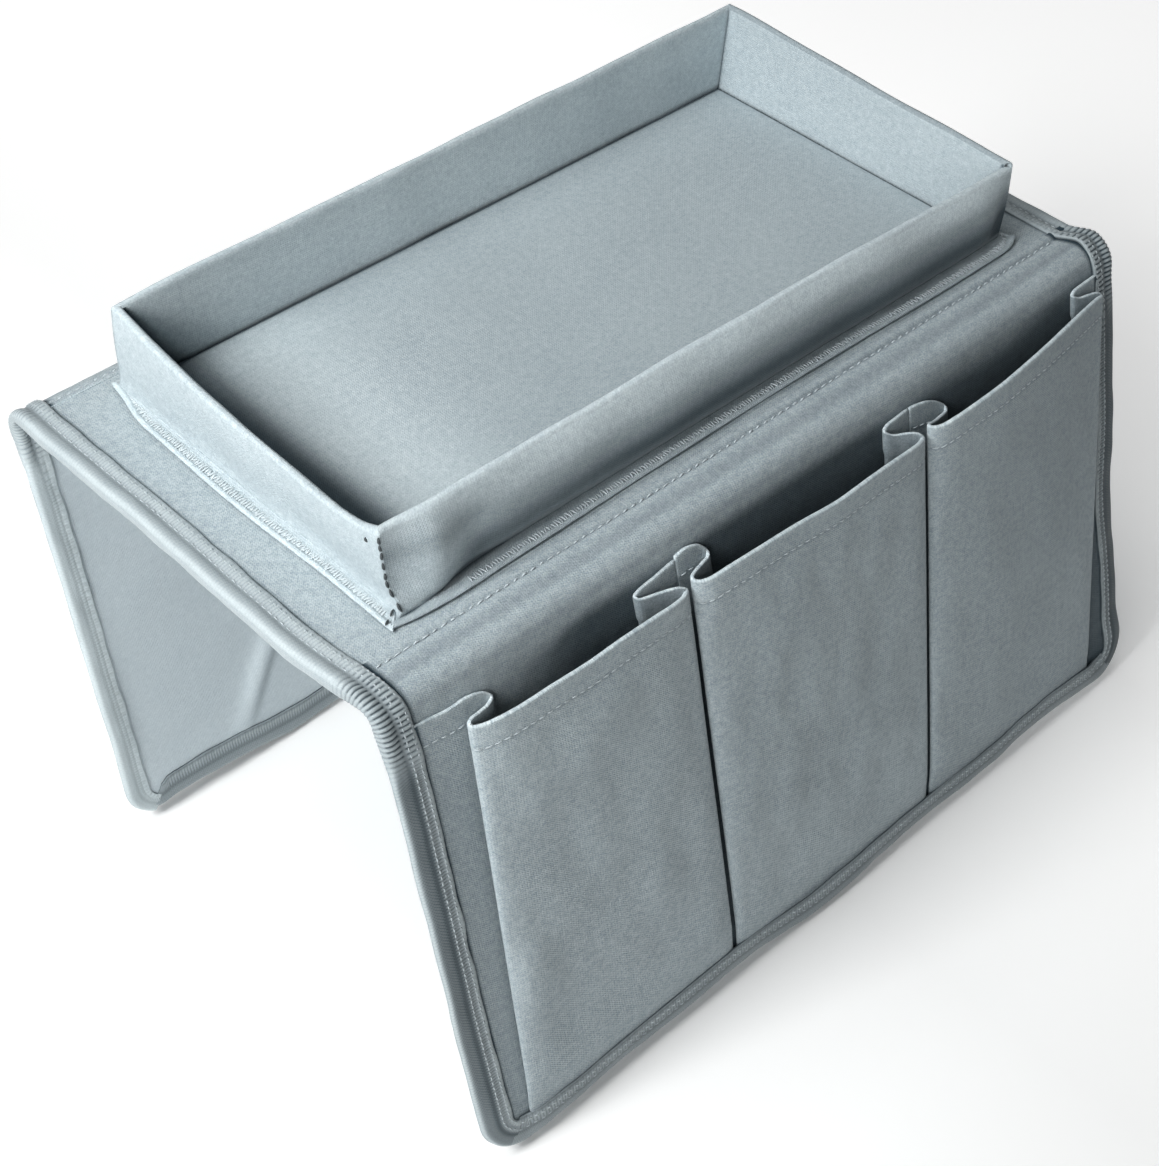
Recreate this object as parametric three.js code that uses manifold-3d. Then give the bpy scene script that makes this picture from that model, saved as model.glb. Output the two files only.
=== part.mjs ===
// Armrest organizer: a cloth saddle that hangs over an armrest, with a shallow
// open tray sewn on top, three pleated pockets on the front flap and two on the
// back flap.
//
// Millimetres, +Z up. +X runs along the armrest, -Y is the front (three pockets).
// The origin is the middle of the saddle's underside, where it sits on the armrest.

import * as THREE from 'three';
import { mergeVertices } from 'three/addons/utils/BufferGeometryUtils.js';
import Module from 'manifold-3d';

const wasm = await Module();
wasm.setup();

// ---------------------------------------------------------------- dimensions
const GAP = 0.3;            // between layers and neighbours

const HALF_LEN = 160.5;     // middle to the outer edge of the binding tape, along X
const TAPE_COVER = 11;      // how far the folded binding tape reaches in from the edge
const TAPE_T = 0.6;

const LINING_T = 0.6;
const BOARD_T = 1.6;
const CLOTH_T = 0.8;

// layers of the saddle, as distances out from the fold axes
const R_LINING = 3.4;                           // inner face of the lining
const R_BOARD = R_LINING + LINING_T + GAP;      // 4.3
const R_CLOTH = R_BOARD + BOARD_T + GAP;        // 6.2
const R_OUT = R_CLOTH + CLOTH_T;                // 7.0, outer face of the cloth
const R_FOLD = 5.9;                             // outer face of the fold cloth

const AXIS_Z = -R_LINING;                       // the lining's underside is z = 0
const TOP_Z = AXIS_Z + R_OUT;                   // 3.6, top of the saddle's cloth
const FRONT_AXIS_Y = -82.5;
const BACK_AXIS_Y = 79.7;

const FRONT_LEAN = THREE.MathUtils.degToRad(14);  // front flap hangs splayed outwards
const BACK_LEAN = THREE.MathUtils.degToRad(10);   // back flap hangs tucked inwards
const FRONT_DROP = 173.5;                         // fold axis to the bottom edge
const BACK_DROP = 169;
const CORNER_R = 16;                              // rounded bottom corners
const BOARD_HALF_LEN = 148;
const TOP_BOARD_MARGIN = 7;                       // fold axis to the board's edge

const LINING_HALF_LEN = HALF_LEN - TAPE_COVER - GAP;   // 149.2
const CLOTH_HALF_LEN = HALF_LEN - TAPE_T - GAP;        // 159.6
const FLAP_LINING_TOP = 6.3;                           // clear of the fold cloth
const FOLD_END = THREE.MathUtils.degToRad(-28);        // how far the fold cloth wraps under

// tray
const TRAY_Y = 3;
const TRAY_HALF_LEN = 131.5;
const TRAY_HALF_W = 66;
const TRAY_H = 31;
const FLARE_X = 2.4;        // each short wall leans out by this much at the rim
const FLARE_Y = -0.8;       // each long wall leans in
const WALL_T = 4.4;
const FLANGE_W = 6;
const FLANGE_T = 0.8;
const TRAY_BOARD_T = 2.2;
const FLOOR_BOARD_T = 1.5;
const MITRE = 0.22;

// pockets
const FRONT_T = 0.8;
const HEM_T = 0.7;
const HEM_H = 8;
const GAPE_BOTTOM = 1.9;    // pocket front off the flap, at the bottom seam
const GAPE_TOP = 8.5;       // and at the mouth
const PLEAT_DEPTH = 14;
const FRONT_MOUTH = 12.5;   // fold axis down to the mouth
const BACK_MOUTH = 14;

// ---------------------------------------------------------------- materials
function cloth(color, roughness = 0.9) {
  return new THREE.MeshStandardMaterial({ color, roughness, metalness: 0 });
}
const MAT = {
  cloth: cloth(0x9aa4a8),
  tray: cloth(0xa4acb0),
  lining: cloth(0xa9b3b9),
  tape: cloth(0x8f9a9e, 0.8),
  board: cloth(0x8a8378, 0.95),
};

// ---------------------------------------------------------------- helpers
function solid(geometry) {
  let g = geometry.index ? geometry.toNonIndexed() : geometry.clone();
  for (const name of Object.keys(g.attributes)) {
    if (name !== 'position') g.deleteAttribute(name);
  }
  g = mergeVertices(g, 1e-4);
  const mesh = new wasm.Mesh({
    numProp: 3,
    vertProperties: new Float32Array(g.attributes.position.array),
    triVerts: new Uint32Array(g.index.array),
  });
  return new wasm.Manifold(mesh);
}

function shell(manifold) {
  const mesh = manifold.getMesh();
  const g = new THREE.BufferGeometry();
  const positions = new Float32Array(mesh.numVert * 3);
  for (let i = 0; i < mesh.numVert; i++) {
    for (let k = 0; k < 3; k++) {
      positions[i * 3 + k] = mesh.vertProperties[i * mesh.numProp + k];
    }
  }
  g.setAttribute('position', new THREE.BufferAttribute(positions, 3));
  g.setIndex(new THREE.BufferAttribute(new Uint32Array(mesh.triVerts), 1));
  g.computeVertexNormals();
  return g;
}

function boxGeometry(x0, x1, y0, y1, z0, z1) {
  const g = new THREE.BoxGeometry(x1 - x0, y1 - y0, z1 - z0);
  g.translate((x0 + x1) / 2, (y0 + y1) / 2, (z0 + z1) / 2);
  return g;
}

// a flat plate: an outline in X and Z, extruded along Y from y0 to y1
function plateXZ(shape, y0, y1, steps = 6) {
  const g = new THREE.ExtrudeGeometry(shape, { depth: y1 - y0, bevelEnabled: false, curveSegments: steps });
  // shape (x, z) with depth along +Z becomes (x, -depth, z) once turned about X
  g.rotateX(Math.PI / 2);
  g.translate(0, y1, 0);
  return g;
}

// an outline in Y and Z, extruded along X from x0 to x1
function barYZ(points, x0, x1) {
  const shape = new THREE.Shape(points.map(([y, z]) => new THREE.Vector2(y, z)));
  const g = new THREE.ExtrudeGeometry(shape, { depth: x1 - x0, bevelEnabled: false });
  // (y, z, depth) to (depth, y, z)
  g.applyMatrix4(new THREE.Matrix4().set(0, 0, 1, x0, 1, 0, 0, 0, 0, 1, 0, 0, 0, 0, 0, 1));
  return g;
}

// a straight-sided body between two outlines with the same number of points, the
// lower one first
function loft(lower, upper) {
  const flat = (ring) => ring.map(([x, y]) => new THREE.Vector2(x, y));
  if (THREE.ShapeUtils.isClockWise(flat(lower))) {
    lower = [...lower].reverse();
    upper = [...upper].reverse();
  }
  const n = lower.length;
  const index = [];
  for (let i = 0; i < n; i++) {
    const j = (i + 1) % n;
    index.push(i, j, n + j, i, n + j, n + i);
  }
  for (const [a, b, c] of THREE.ShapeUtils.triangulateShape(flat(lower), [])) {
    index.push(c, b, a);
  }
  for (const [a, b, c] of THREE.ShapeUtils.triangulateShape(flat(upper), [])) {
    index.push(n + a, n + b, n + c);
  }
  const g = new THREE.BufferGeometry();
  g.setAttribute('position', new THREE.Float32BufferAttribute([...lower, ...upper].flat(), 3));
  g.setIndex(index);
  g.computeVertexNormals();
  return g;
}

// a rectangle from z = -top down to z = -drop with its two lower corners rounded
function flapShape(half, top, drop, r) {
  const s = new THREE.Shape();
  s.moveTo(-half, -top);
  s.lineTo(-half, -drop + r);
  s.absarc(-half + r, -drop + r, r, Math.PI, 1.5 * Math.PI, false);
  s.lineTo(half - r, -drop);
  s.absarc(half - r, -drop + r, r, 1.5 * Math.PI, 2 * Math.PI, false);
  s.lineTo(half, -top);
  s.closePath();
  return s;
}

function piece(name, geometry, material) {
  const m = new THREE.Mesh(geometry, material);
  m.name = name;
  return m;
}

// ---------------------------------------------------------------- saddle top
const organizer = new THREE.Group();

organizer.add(piece('top_lining',
  boxGeometry(-LINING_HALF_LEN, LINING_HALF_LEN, FRONT_AXIS_Y + GAP, BACK_AXIS_Y - GAP, 0, LINING_T), MAT.lining));
organizer.add(piece('top_board',
  boxGeometry(-BOARD_HALF_LEN, BOARD_HALF_LEN, FRONT_AXIS_Y + TOP_BOARD_MARGIN, BACK_AXIS_Y - TOP_BOARD_MARGIN,
    AXIS_Z + R_BOARD, AXIS_Z + R_BOARD + BOARD_T), MAT.board));
organizer.add(piece('top_cloth',
  boxGeometry(-CLOTH_HALF_LEN, CLOTH_HALF_LEN, FRONT_AXIS_Y + GAP / 2, BACK_AXIS_Y - GAP / 2,
    AXIS_Z + R_CLOTH, TOP_Z), MAT.cloth));

// The unstiffened strip that turns over each fold: flat under the top cloth, then
// rolled round the fold axis. side is -1 at the front and 1 at the back.
function foldCloth(axisY, side) {
  const outer = [], inner = [];
  const steps = 10;
  for (let i = 0; i <= steps; i++) {
    const a = Math.PI / 2 + (FOLD_END - Math.PI / 2) * (i / steps);
    outer.push([axisY + side * R_FOLD * Math.cos(a), AXIS_Z + R_FOLD * Math.sin(a)]);
    inner.push([axisY + side * (R_FOLD - CLOTH_T) * Math.cos(a), AXIS_Z + (R_FOLD - CLOTH_T) * Math.sin(a)]);
  }
  const inward = axisY - side * 6.2;
  return barYZ([
    [inward, AXIS_Z + R_FOLD], ...outer,
    ...inner.reverse(), [inward, AXIS_Z + R_FOLD - CLOTH_T],
  ], -CLOTH_HALF_LEN, CLOTH_HALF_LEN);
}
organizer.add(piece('front_fold_cloth', foldCloth(FRONT_AXIS_Y, -1), MAT.cloth));
organizer.add(piece('back_fold_cloth', foldCloth(BACK_AXIS_Y, 1), MAT.cloth));

// binding tape folded over each end of the top
function endTape(side) {
  const y0 = FRONT_AXIS_Y + GAP, y1 = BACK_AXIS_Y - GAP;
  const out = side * HALF_LEN, web = side * (HALF_LEN - TAPE_T), reach = side * (HALF_LEN - TAPE_COVER);
  const span = (a, b) => [Math.min(a, b), Math.max(a, b)];
  const zTop = TOP_Z + GAP + TAPE_T;
  const upper = solid(boxGeometry(...span(out, reach), y0, y1, TOP_Z + GAP, zTop));
  const lower = solid(boxGeometry(...span(out, reach), y0, y1, 0, TAPE_T));
  const wall = solid(boxGeometry(...span(out, web), y0, y1, 0, zTop));
  return shell(upper.add(lower).add(wall));
}
organizer.add(piece('left_end_tape', endTape(-1), MAT.tape));
organizer.add(piece('right_end_tape', endTape(1), MAT.tape));

// ---------------------------------------------------------------- tray
// a four-sided body whose sides lean with the tray's walls, inset from their outer faces
function trayBlock(inset, z0, z1) {
  const ring = (z) => {
    const t = (z - TOP_Z) / TRAY_H;
    const hx = TRAY_HALF_LEN + FLARE_X * t - inset;
    const hy = TRAY_HALF_W + FLARE_Y * t - inset;
    return [[-hx, TRAY_Y - hy, z], [hx, TRAY_Y - hy, z], [hx, TRAY_Y + hy, z], [-hx, TRAY_Y + hy, z]];
  };
  return solid(loft(ring(z0), ring(z1)));
}

// the share of the tray's ring that belongs to one wall, cut on the corner mitres
function wallWedge(wall) {
  const x = TRAY_HALF_LEN, y = TRAY_HALF_W, o = 30, d = 60;
  const plans = {
    left: [[-x - o, -y - o], [-x + d, -y + d], [-x + d, y - d], [-x - o, y + o]],
    right: [[x + o, -y - o], [x + o, y + o], [x - d, y - d], [x - d, -y + d]],
    front: [[-x - o, -y - o], [x + o, -y - o], [x - d, -y + d], [-x + d, -y + d]],
    back: [[-x - o, y + o], [-x + d, y - d], [x - d, y - d], [x + o, y + o]],
  };
  const shift = { left: [-MITRE, 0], right: [MITRE, 0], front: [0, -MITRE], back: [0, MITRE] }[wall];
  const at = (z) => plans[wall].map(([px, py]) => [px + shift[0], py + TRAY_Y + shift[1], z]);
  return solid(loft(at(TOP_Z - 5), at(TOP_Z + TRAY_H + 5)));
}

const rimZ = TOP_Z + TRAY_H;
const flangeTop = TOP_Z + GAP + FLANGE_T;
const wallFoot = flangeTop + GAP;
const boardInset = CLOTH_T + GAP;

const coverRing = trayBlock(0, wallFoot, rimZ)
  .subtract(trayBlock(WALL_T, wallFoot - 2, rimZ + 2))
  .subtract(trayBlock(CLOTH_T, wallFoot - 2, rimZ - 1.1).subtract(trayBlock(WALL_T - CLOTH_T, wallFoot - 3, rimZ + 3)));
const boardRing = trayBlock(boardInset, wallFoot, rimZ - 1.4)
  .subtract(trayBlock(boardInset + TRAY_BOARD_T, wallFoot - 2, rimZ + 2));
const flangeRing = solid(boxGeometry(-TRAY_HALF_LEN - FLANGE_W, TRAY_HALF_LEN + FLANGE_W,
  TRAY_Y - TRAY_HALF_W - FLANGE_W, TRAY_Y + TRAY_HALF_W + FLANGE_W, TOP_Z + GAP, flangeTop))
  .subtract(solid(boxGeometry(-TRAY_HALF_LEN + WALL_T + 0.2, TRAY_HALF_LEN - WALL_T - 0.2,
    TRAY_Y - TRAY_HALF_W + WALL_T + 0.2, TRAY_Y + TRAY_HALF_W - WALL_T - 0.2, TOP_Z - 1, flangeTop + 1)));

for (const wall of ['left', 'right', 'front', 'back']) {
  const wedge = wallWedge(wall);
  organizer.add(piece(`tray_cover_${wall}`, shell(coverRing.intersect(wedge)), MAT.tray));
  organizer.add(piece(`tray_board_${wall}`, shell(boardRing.intersect(wedge)), MAT.board));
  organizer.add(piece(`tray_flange_${wall}`, shell(flangeRing.intersect(wedge)), MAT.tray));
}

const floorHalfLen = TRAY_HALF_LEN - WALL_T - 0.3;
const floorHalfW = TRAY_HALF_W - WALL_T - 0.4;
organizer.add(piece('tray_floor_board',
  boxGeometry(-floorHalfLen + 0.4, floorHalfLen - 0.4, TRAY_Y - floorHalfW + 0.4, TRAY_Y + floorHalfW - 0.4,
    TOP_Z + GAP, TOP_Z + GAP + FLOOR_BOARD_T), MAT.board));
organizer.add(piece('tray_floor_cloth',
  boxGeometry(-floorHalfLen, floorHalfLen, TRAY_Y - floorHalfW, TRAY_Y + floorHalfW,
    TOP_Z + 2 * GAP + FLOOR_BOARD_T, TOP_Z + 2 * GAP + FLOOR_BOARD_T + CLOTH_T), MAT.tray));

// ---------------------------------------------------------------- flaps
// A flap is built hanging straight down from its fold axis, with side -1 for one
// whose outer face looks along -Y and 1 for +Y, and its group then leans it.
function flapGroup(prefix, axisY, side, lean, drop) {
  const group = new THREE.Group();
  group.position.set(0, axisY, AXIS_Z);
  group.rotation.x = -lean;
  const between = (a, b) => (side < 0 ? [-b, -a] : [a, b]);

  group.add(piece(`${prefix}_flap_cloth`,
    plateXZ(flapShape(CLOTH_HALF_LEN, GAP / 2, drop - TAPE_T - GAP, CORNER_R - TAPE_T - GAP),
      ...between(R_CLOTH, R_OUT)), MAT.cloth));
  group.add(piece(`${prefix}_flap_board`,
    plateXZ(flapShape(BOARD_HALF_LEN, 9, drop - 12.5, 5), ...between(R_BOARD, R_BOARD + BOARD_T)), MAT.board));
  group.add(piece(`${prefix}_flap_lining`,
    plateXZ(flapShape(LINING_HALF_LEN, FLAP_LINING_TOP, drop - TAPE_COVER - GAP, CORNER_R - TAPE_COVER - GAP),
      ...between(R_LINING, R_LINING + LINING_T)), MAT.lining));

  // binding tape folded over the side and bottom edges
  const outline = (top, inset, y0, y1) =>
    solid(plateXZ(flapShape(HALF_LEN - inset, top, drop - inset, CORNER_R - inset), ...between(y0, y1)));
  const hole = (inset, y0, y1) =>
    solid(plateXZ(flapShape(HALF_LEN - inset, -5, drop - inset, CORNER_R - inset), ...between(y0, y1)));
  const tapeOut = R_OUT + GAP + TAPE_T;
  const outerLeg = outline(0.6, 0, R_OUT + GAP, tapeOut).subtract(hole(TAPE_COVER, R_OUT - 1, tapeOut + 1));
  const innerLeg = outline(FLAP_LINING_TOP, 0, R_LINING, R_LINING + TAPE_T).subtract(hole(TAPE_COVER, R_LINING - 1, R_OUT));
  const web = outline(FLAP_LINING_TOP, 0, R_LINING, tapeOut).subtract(hole(TAPE_T, R_LINING - 1, tapeOut + 1));
  const tape = outerLeg.add(innerLeg).add(web);
  const cut = -(drop - 22);
  const region = (x0, x1, z0, z1) => solid(boxGeometry(x0, x1, -20, 20, z0, z1));
  group.add(piece(`${prefix}_tape_left`, shell(tape.intersect(region(-200, -100, cut + GAP / 2, 20))), MAT.tape));
  group.add(piece(`${prefix}_tape_right`, shell(tape.intersect(region(100, 200, cut + GAP / 2, 20))), MAT.tape));
  group.add(piece(`${prefix}_tape_bottom`, shell(tape.intersect(region(-200, 200, -400, cut - GAP / 2))), MAT.tape));
  return group;
}

// A pocket front: a flat cloth panel standing off the flap more at the mouth than
// at the bottom seam, with its hem turned over along the mouth.
// xb and xt are its left and right edges at the bottom and at the mouth.
function pocketFront(side, drop, mouth, xb, xt) {
  const zb = -(drop - TAPE_COVER - 0.4), zt = -mouth;
  const height = Math.hypot(zt - zb, GAPE_TOP - GAPE_BOTTOM);
  const tilt = Math.atan2(GAPE_TOP - GAPE_BOTTOM, zt - zb);
  const panel = new THREE.Shape([[xb[0], 0], [xb[1], 0], [xt[1], height], [xt[0], height]].map(([x, z]) => new THREE.Vector2(x, z)));
  const lerp = (a, b, t) => a + (b - a) * t;
  const th = (height - HEM_H) / height;
  const hem = new THREE.Shape([
    [lerp(xb[0], xt[0], th), height - HEM_H], [lerp(xb[1], xt[1], th), height - HEM_H],
    [xt[1], height], [xt[0], height]].map(([x, z]) => new THREE.Vector2(x, z)));
  const range = (a, b) => (side < 0 ? [-b, -a] : [a, b]);
  const body = solid(plateXZ(panel, ...range(0, FRONT_T))).add(solid(plateXZ(hem, ...range(FRONT_T / 2, FRONT_T + HEM_T))));
  const g = shell(body);
  g.rotateX(side < 0 ? tilt : -tilt);
  g.translate(0, side * (R_OUT + GAPE_BOTTOM), zb);
  return g;
}

// A pleat: cloth that runs from a seam on the flap (x0), flat along it to the back
// fold (x1), and returns to the edge of the pocket front (x2). Each is given at the
// bottom and at the mouth.
function pleat(side, drop, mouth, x0, x1, x2) {
  const zb = -(drop - TAPE_COVER - 0.4), zt = -mouth;
  const section = (a, b, c, z, lift, edge) => {
    const s = Math.sign(a - b);       // from the back fold towards the seam
    return [
      [a, 0.3], [b, 0.3], [b, lift + 0.5], [c, edge + 0.5], [c, edge],
      [b + s * 0.8, lift], [b + s * 0.8, 0.8], [a, 0.8],
    ].map(([x, o]) => [x, side * (R_OUT + o), z]);
  };
  return loft(section(x0[0], x1[0], x2[0], zb, 1.0, 1.0), section(x0[1], x1[1], x2[1], zt, 1.5, 7.3));
}

const front = flapGroup('front', FRONT_AXIS_Y, -1, FRONT_LEAN, FRONT_DROP);
const back = flapGroup('back', BACK_AXIS_Y, 1, BACK_LEAN, BACK_DROP);

const FRONT_SEAM_A = -51, FRONT_SEAM_B = 47;   // between the three front pockets
const END_BOTTOM = 141, END_MOUTH = 135;       // outer edges of the end pockets' fronts
const END_SEAM = LINING_HALF_LEN;              // where the strip is caught in the tape
const SEAM_GAP = 0.4;

const frontPockets = {
  left: { xb: [-END_BOTTOM, FRONT_SEAM_A - SEAM_GAP], xt: [-END_MOUTH, FRONT_SEAM_A - SEAM_GAP] },
  middle: { xb: [FRONT_SEAM_A + SEAM_GAP, FRONT_SEAM_B - SEAM_GAP], xt: [FRONT_SEAM_A + SEAM_GAP, FRONT_SEAM_B - SEAM_GAP] },
  right: { xb: [FRONT_SEAM_B + SEAM_GAP, END_BOTTOM], xt: [FRONT_SEAM_B + SEAM_GAP, END_MOUTH] },
};
for (const [name, p] of Object.entries(frontPockets)) {
  front.add(piece(`front_pocket_${name}`, pocketFront(-1, FRONT_DROP, FRONT_MOUTH, p.xb, p.xt), MAT.cloth));
}
// end pleats run from the side tape, and clear its rounded corner at the bottom
function endPleat(s) {
  return [[s * (END_SEAM - 5.2), s * END_SEAM], [s * 130, s * 124], [s * (END_BOTTOM - 1), s * (END_MOUTH - 1)]];
}
// inner pleats run from the seam between two pockets, each away from its pocket's middle
function innerPleat(seam, s) {
  return [[seam + s * GAP, seam + s * GAP], [seam + s * PLEAT_DEPTH, seam + s * PLEAT_DEPTH], [seam + s * 1.2, seam + s * 1.2]];
}
const frontPleats = {
  left_end: endPleat(-1),
  left_inner: innerPleat(FRONT_SEAM_A, -1),
  middle_left: innerPleat(FRONT_SEAM_A, 1),
  middle_right: innerPleat(FRONT_SEAM_B, -1),
  right_inner: innerPleat(FRONT_SEAM_B, 1),
  right_end: endPleat(1),
};
for (const [name, [x0, x1, x2]] of Object.entries(frontPleats)) {
  front.add(piece(`front_pleat_${name}`, pleat(-1, FRONT_DROP, FRONT_MOUTH, x0, x1, x2), MAT.cloth));
}

const backPockets = {
  left: { xb: [-END_BOTTOM, -SEAM_GAP], xt: [-END_MOUTH, -SEAM_GAP] },
  right: { xb: [SEAM_GAP, END_BOTTOM], xt: [SEAM_GAP, END_MOUTH] },
};
for (const [name, p] of Object.entries(backPockets)) {
  back.add(piece(`back_pocket_${name}`, pocketFront(1, BACK_DROP, BACK_MOUTH, p.xb, p.xt), MAT.cloth));
}
const backPleats = {
  left_end: endPleat(-1),
  left_inner: innerPleat(0, -1),
  right_inner: innerPleat(0, 1),
  right_end: endPleat(1),
};
for (const [name, [x0, x1, x2]] of Object.entries(backPleats)) {
  back.add(piece(`back_pleat_${name}`, pleat(1, BACK_DROP, BACK_MOUTH, x0, x1, x2), MAT.cloth));
}

organizer.add(front);
organizer.add(back);

export default organizer;
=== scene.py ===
"""Looks of a cloth armrest organizer: saddle top with a tray, two hanging flaps with pleated pockets."""

import math

import bpy
import numpy as np
from mathutils import Matrix, Vector
from mathutils.geometry import tessellate_polygon


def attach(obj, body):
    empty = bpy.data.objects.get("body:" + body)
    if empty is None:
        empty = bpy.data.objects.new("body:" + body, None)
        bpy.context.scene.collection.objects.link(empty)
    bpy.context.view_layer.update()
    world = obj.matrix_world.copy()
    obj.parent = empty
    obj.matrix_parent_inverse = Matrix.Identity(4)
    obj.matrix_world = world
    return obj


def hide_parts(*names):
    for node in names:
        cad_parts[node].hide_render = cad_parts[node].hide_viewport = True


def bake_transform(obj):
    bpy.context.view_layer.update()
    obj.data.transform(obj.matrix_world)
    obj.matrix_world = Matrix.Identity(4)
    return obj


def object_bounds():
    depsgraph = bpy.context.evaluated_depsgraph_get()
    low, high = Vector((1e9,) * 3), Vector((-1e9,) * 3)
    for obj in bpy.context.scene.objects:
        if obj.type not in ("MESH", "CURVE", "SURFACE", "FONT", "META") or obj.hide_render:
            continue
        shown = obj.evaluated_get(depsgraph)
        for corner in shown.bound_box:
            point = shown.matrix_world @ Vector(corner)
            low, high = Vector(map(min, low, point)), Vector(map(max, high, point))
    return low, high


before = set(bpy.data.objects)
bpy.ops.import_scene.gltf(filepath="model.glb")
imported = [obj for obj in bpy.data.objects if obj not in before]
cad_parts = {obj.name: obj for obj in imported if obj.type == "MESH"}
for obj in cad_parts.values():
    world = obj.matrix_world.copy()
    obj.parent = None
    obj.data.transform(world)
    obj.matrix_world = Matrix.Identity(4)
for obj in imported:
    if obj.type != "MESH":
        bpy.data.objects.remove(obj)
CAD_LO, CAD_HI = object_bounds()

MM = 0.001
PI = math.pi

# ------------------------------------------------------------------ the camera

RIGHT = Vector((0.7294, -0.6839, 0.0138))
DOWN = Vector((-0.4699, -0.5156, -0.7165))
FWD = Vector((0.4972, 0.5161, -0.6975))

camera_data = bpy.data.cameras.new("camera")
camera = bpy.data.objects.new("camera", camera_data)
bpy.context.scene.collection.objects.link(camera)
FWD = FWD.normalized()
UP = (-DOWN - FWD * (-DOWN).dot(FWD)).normalized()
RIGHT = FWD.cross(UP).normalized()
camera.matrix_world = Matrix(
    (
        (RIGHT.x, UP.x, -FWD.x, -0.38492),
        (RIGHT.y, UP.y, -FWD.y, -0.39880),
        (RIGHT.z, UP.z, -FWD.z, 0.42225),
        (0, 0, 0, 1),
    )
)
camera_data.lens = 66.08
camera_data.sensor_width = 36
camera_data.sensor_fit = "AUTO"
camera_data.clip_start = 0.01
camera_data.clip_end = 20
bpy.context.scene.camera = camera

# ------------------------------------------------------------------ small maths


def smooth(x, a, b):
    t = np.clip((np.asarray(x, float) - a) / (b - a), 0, 1)
    return t * t * (3 - 2 * t)


def bump(x, centre, half):
    t = np.clip(np.abs(np.asarray(x, float) - centre) / half, 0, 1)
    return 0.5 + 0.5 * np.cos(PI * t)


def curve(x, xs, ys):
    """A smooth line through the given values, level beyond the ends."""
    xs, ys = np.asarray(xs, float), np.asarray(ys, float)
    m = np.gradient(ys, xs)
    x = np.clip(np.asarray(x, float), xs[0], xs[-1])
    i = np.clip(np.searchsorted(xs, x, side="right") - 1, 0, len(xs) - 2)
    h = xs[i + 1] - xs[i]
    t = (x - xs[i]) / h
    return (
        (2 * t**3 - 3 * t**2 + 1) * ys[i] + (t**3 - 2 * t**2 + t) * h * m[i]
        + (3 * t**2 - 2 * t**3) * ys[i + 1] + (t**3 - t**2) * h * m[i + 1]
    )


def ridge_at(x, centre, width):
    return np.exp(-(((np.asarray(x, float) - centre) / width) ** 2))


def waves(u, v, seed, length, count=7):
    """Soft noise of about unit size, from a few sine waves about this long, in millimetres."""
    r = np.random.default_rng(seed)
    out = 0
    for _ in range(count):
        a = r.uniform(0, 2 * PI)
        k = 2 * PI / (length * r.uniform(0.6, 1.7))
        out = out + np.sin(k * (u * math.cos(a) + v * math.sin(a)) + r.uniform(0, 2 * PI))
    return out * (1.2 / math.sqrt(count))


def unit(v):
    return v / np.maximum(np.linalg.norm(v, axis=-1, keepdims=True), 1e-9)


def grid_normals(p):
    du = np.gradient(p, axis=0)
    dv = np.gradient(p, axis=1)
    return unit(np.cross(du, dv))


# ------------------------------------------------------------------ meshes


def make(name, verts, quads, mat, uv=None, tris=None, dark=None):
    """A mesh object from points in millimetres. uv, one for each point, is in metres.
    dark is how much painted shade the cloth has at each point, and below zero how much painted highlight."""
    verts = np.asarray(verts, float).reshape(-1, 3) * MM
    quads = np.asarray(quads, np.int64).reshape(-1, 4)
    tris = np.zeros((0, 3), np.int64) if tris is None else np.asarray(tris, np.int64).reshape(-1, 3)
    me = bpy.data.meshes.new(name)
    me.vertices.add(len(verts))
    me.vertices.foreach_set("co", verts.astype(np.float32).ravel())
    loops = np.concatenate([quads.ravel(), tris.ravel()]).astype(np.int32)
    me.loops.add(len(loops))
    me.loops.foreach_set("vertex_index", loops)
    starts = np.concatenate([np.arange(len(quads)) * 4, len(quads) * 4 + np.arange(len(tris)) * 3])
    me.polygons.add(len(quads) + len(tris))
    me.polygons.foreach_set("loop_start", starts.astype(np.int32))
    me.polygons.foreach_set("use_smooth", np.ones(len(quads) + len(tris), bool))
    if uv is not None:
        layer = me.uv_layers.new(name="cloth")
        uv = np.asarray(uv, float).reshape(-1, 2)
        layer.data.foreach_set("uv", uv[loops].astype(np.float32).ravel())
    attr = me.attributes.new("dark", "FLOAT", "POINT")
    attr.data.foreach_set("value", np.zeros(len(verts), np.float32) if dark is None else np.asarray(dark, np.float32).ravel())
    me.update(calc_edges=True)
    me.validate()
    o = bpy.data.objects.new(name, me)
    bpy.context.scene.collection.objects.link(o)
    if mat is not None:
        me.materials.append(mat)
    return o


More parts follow.
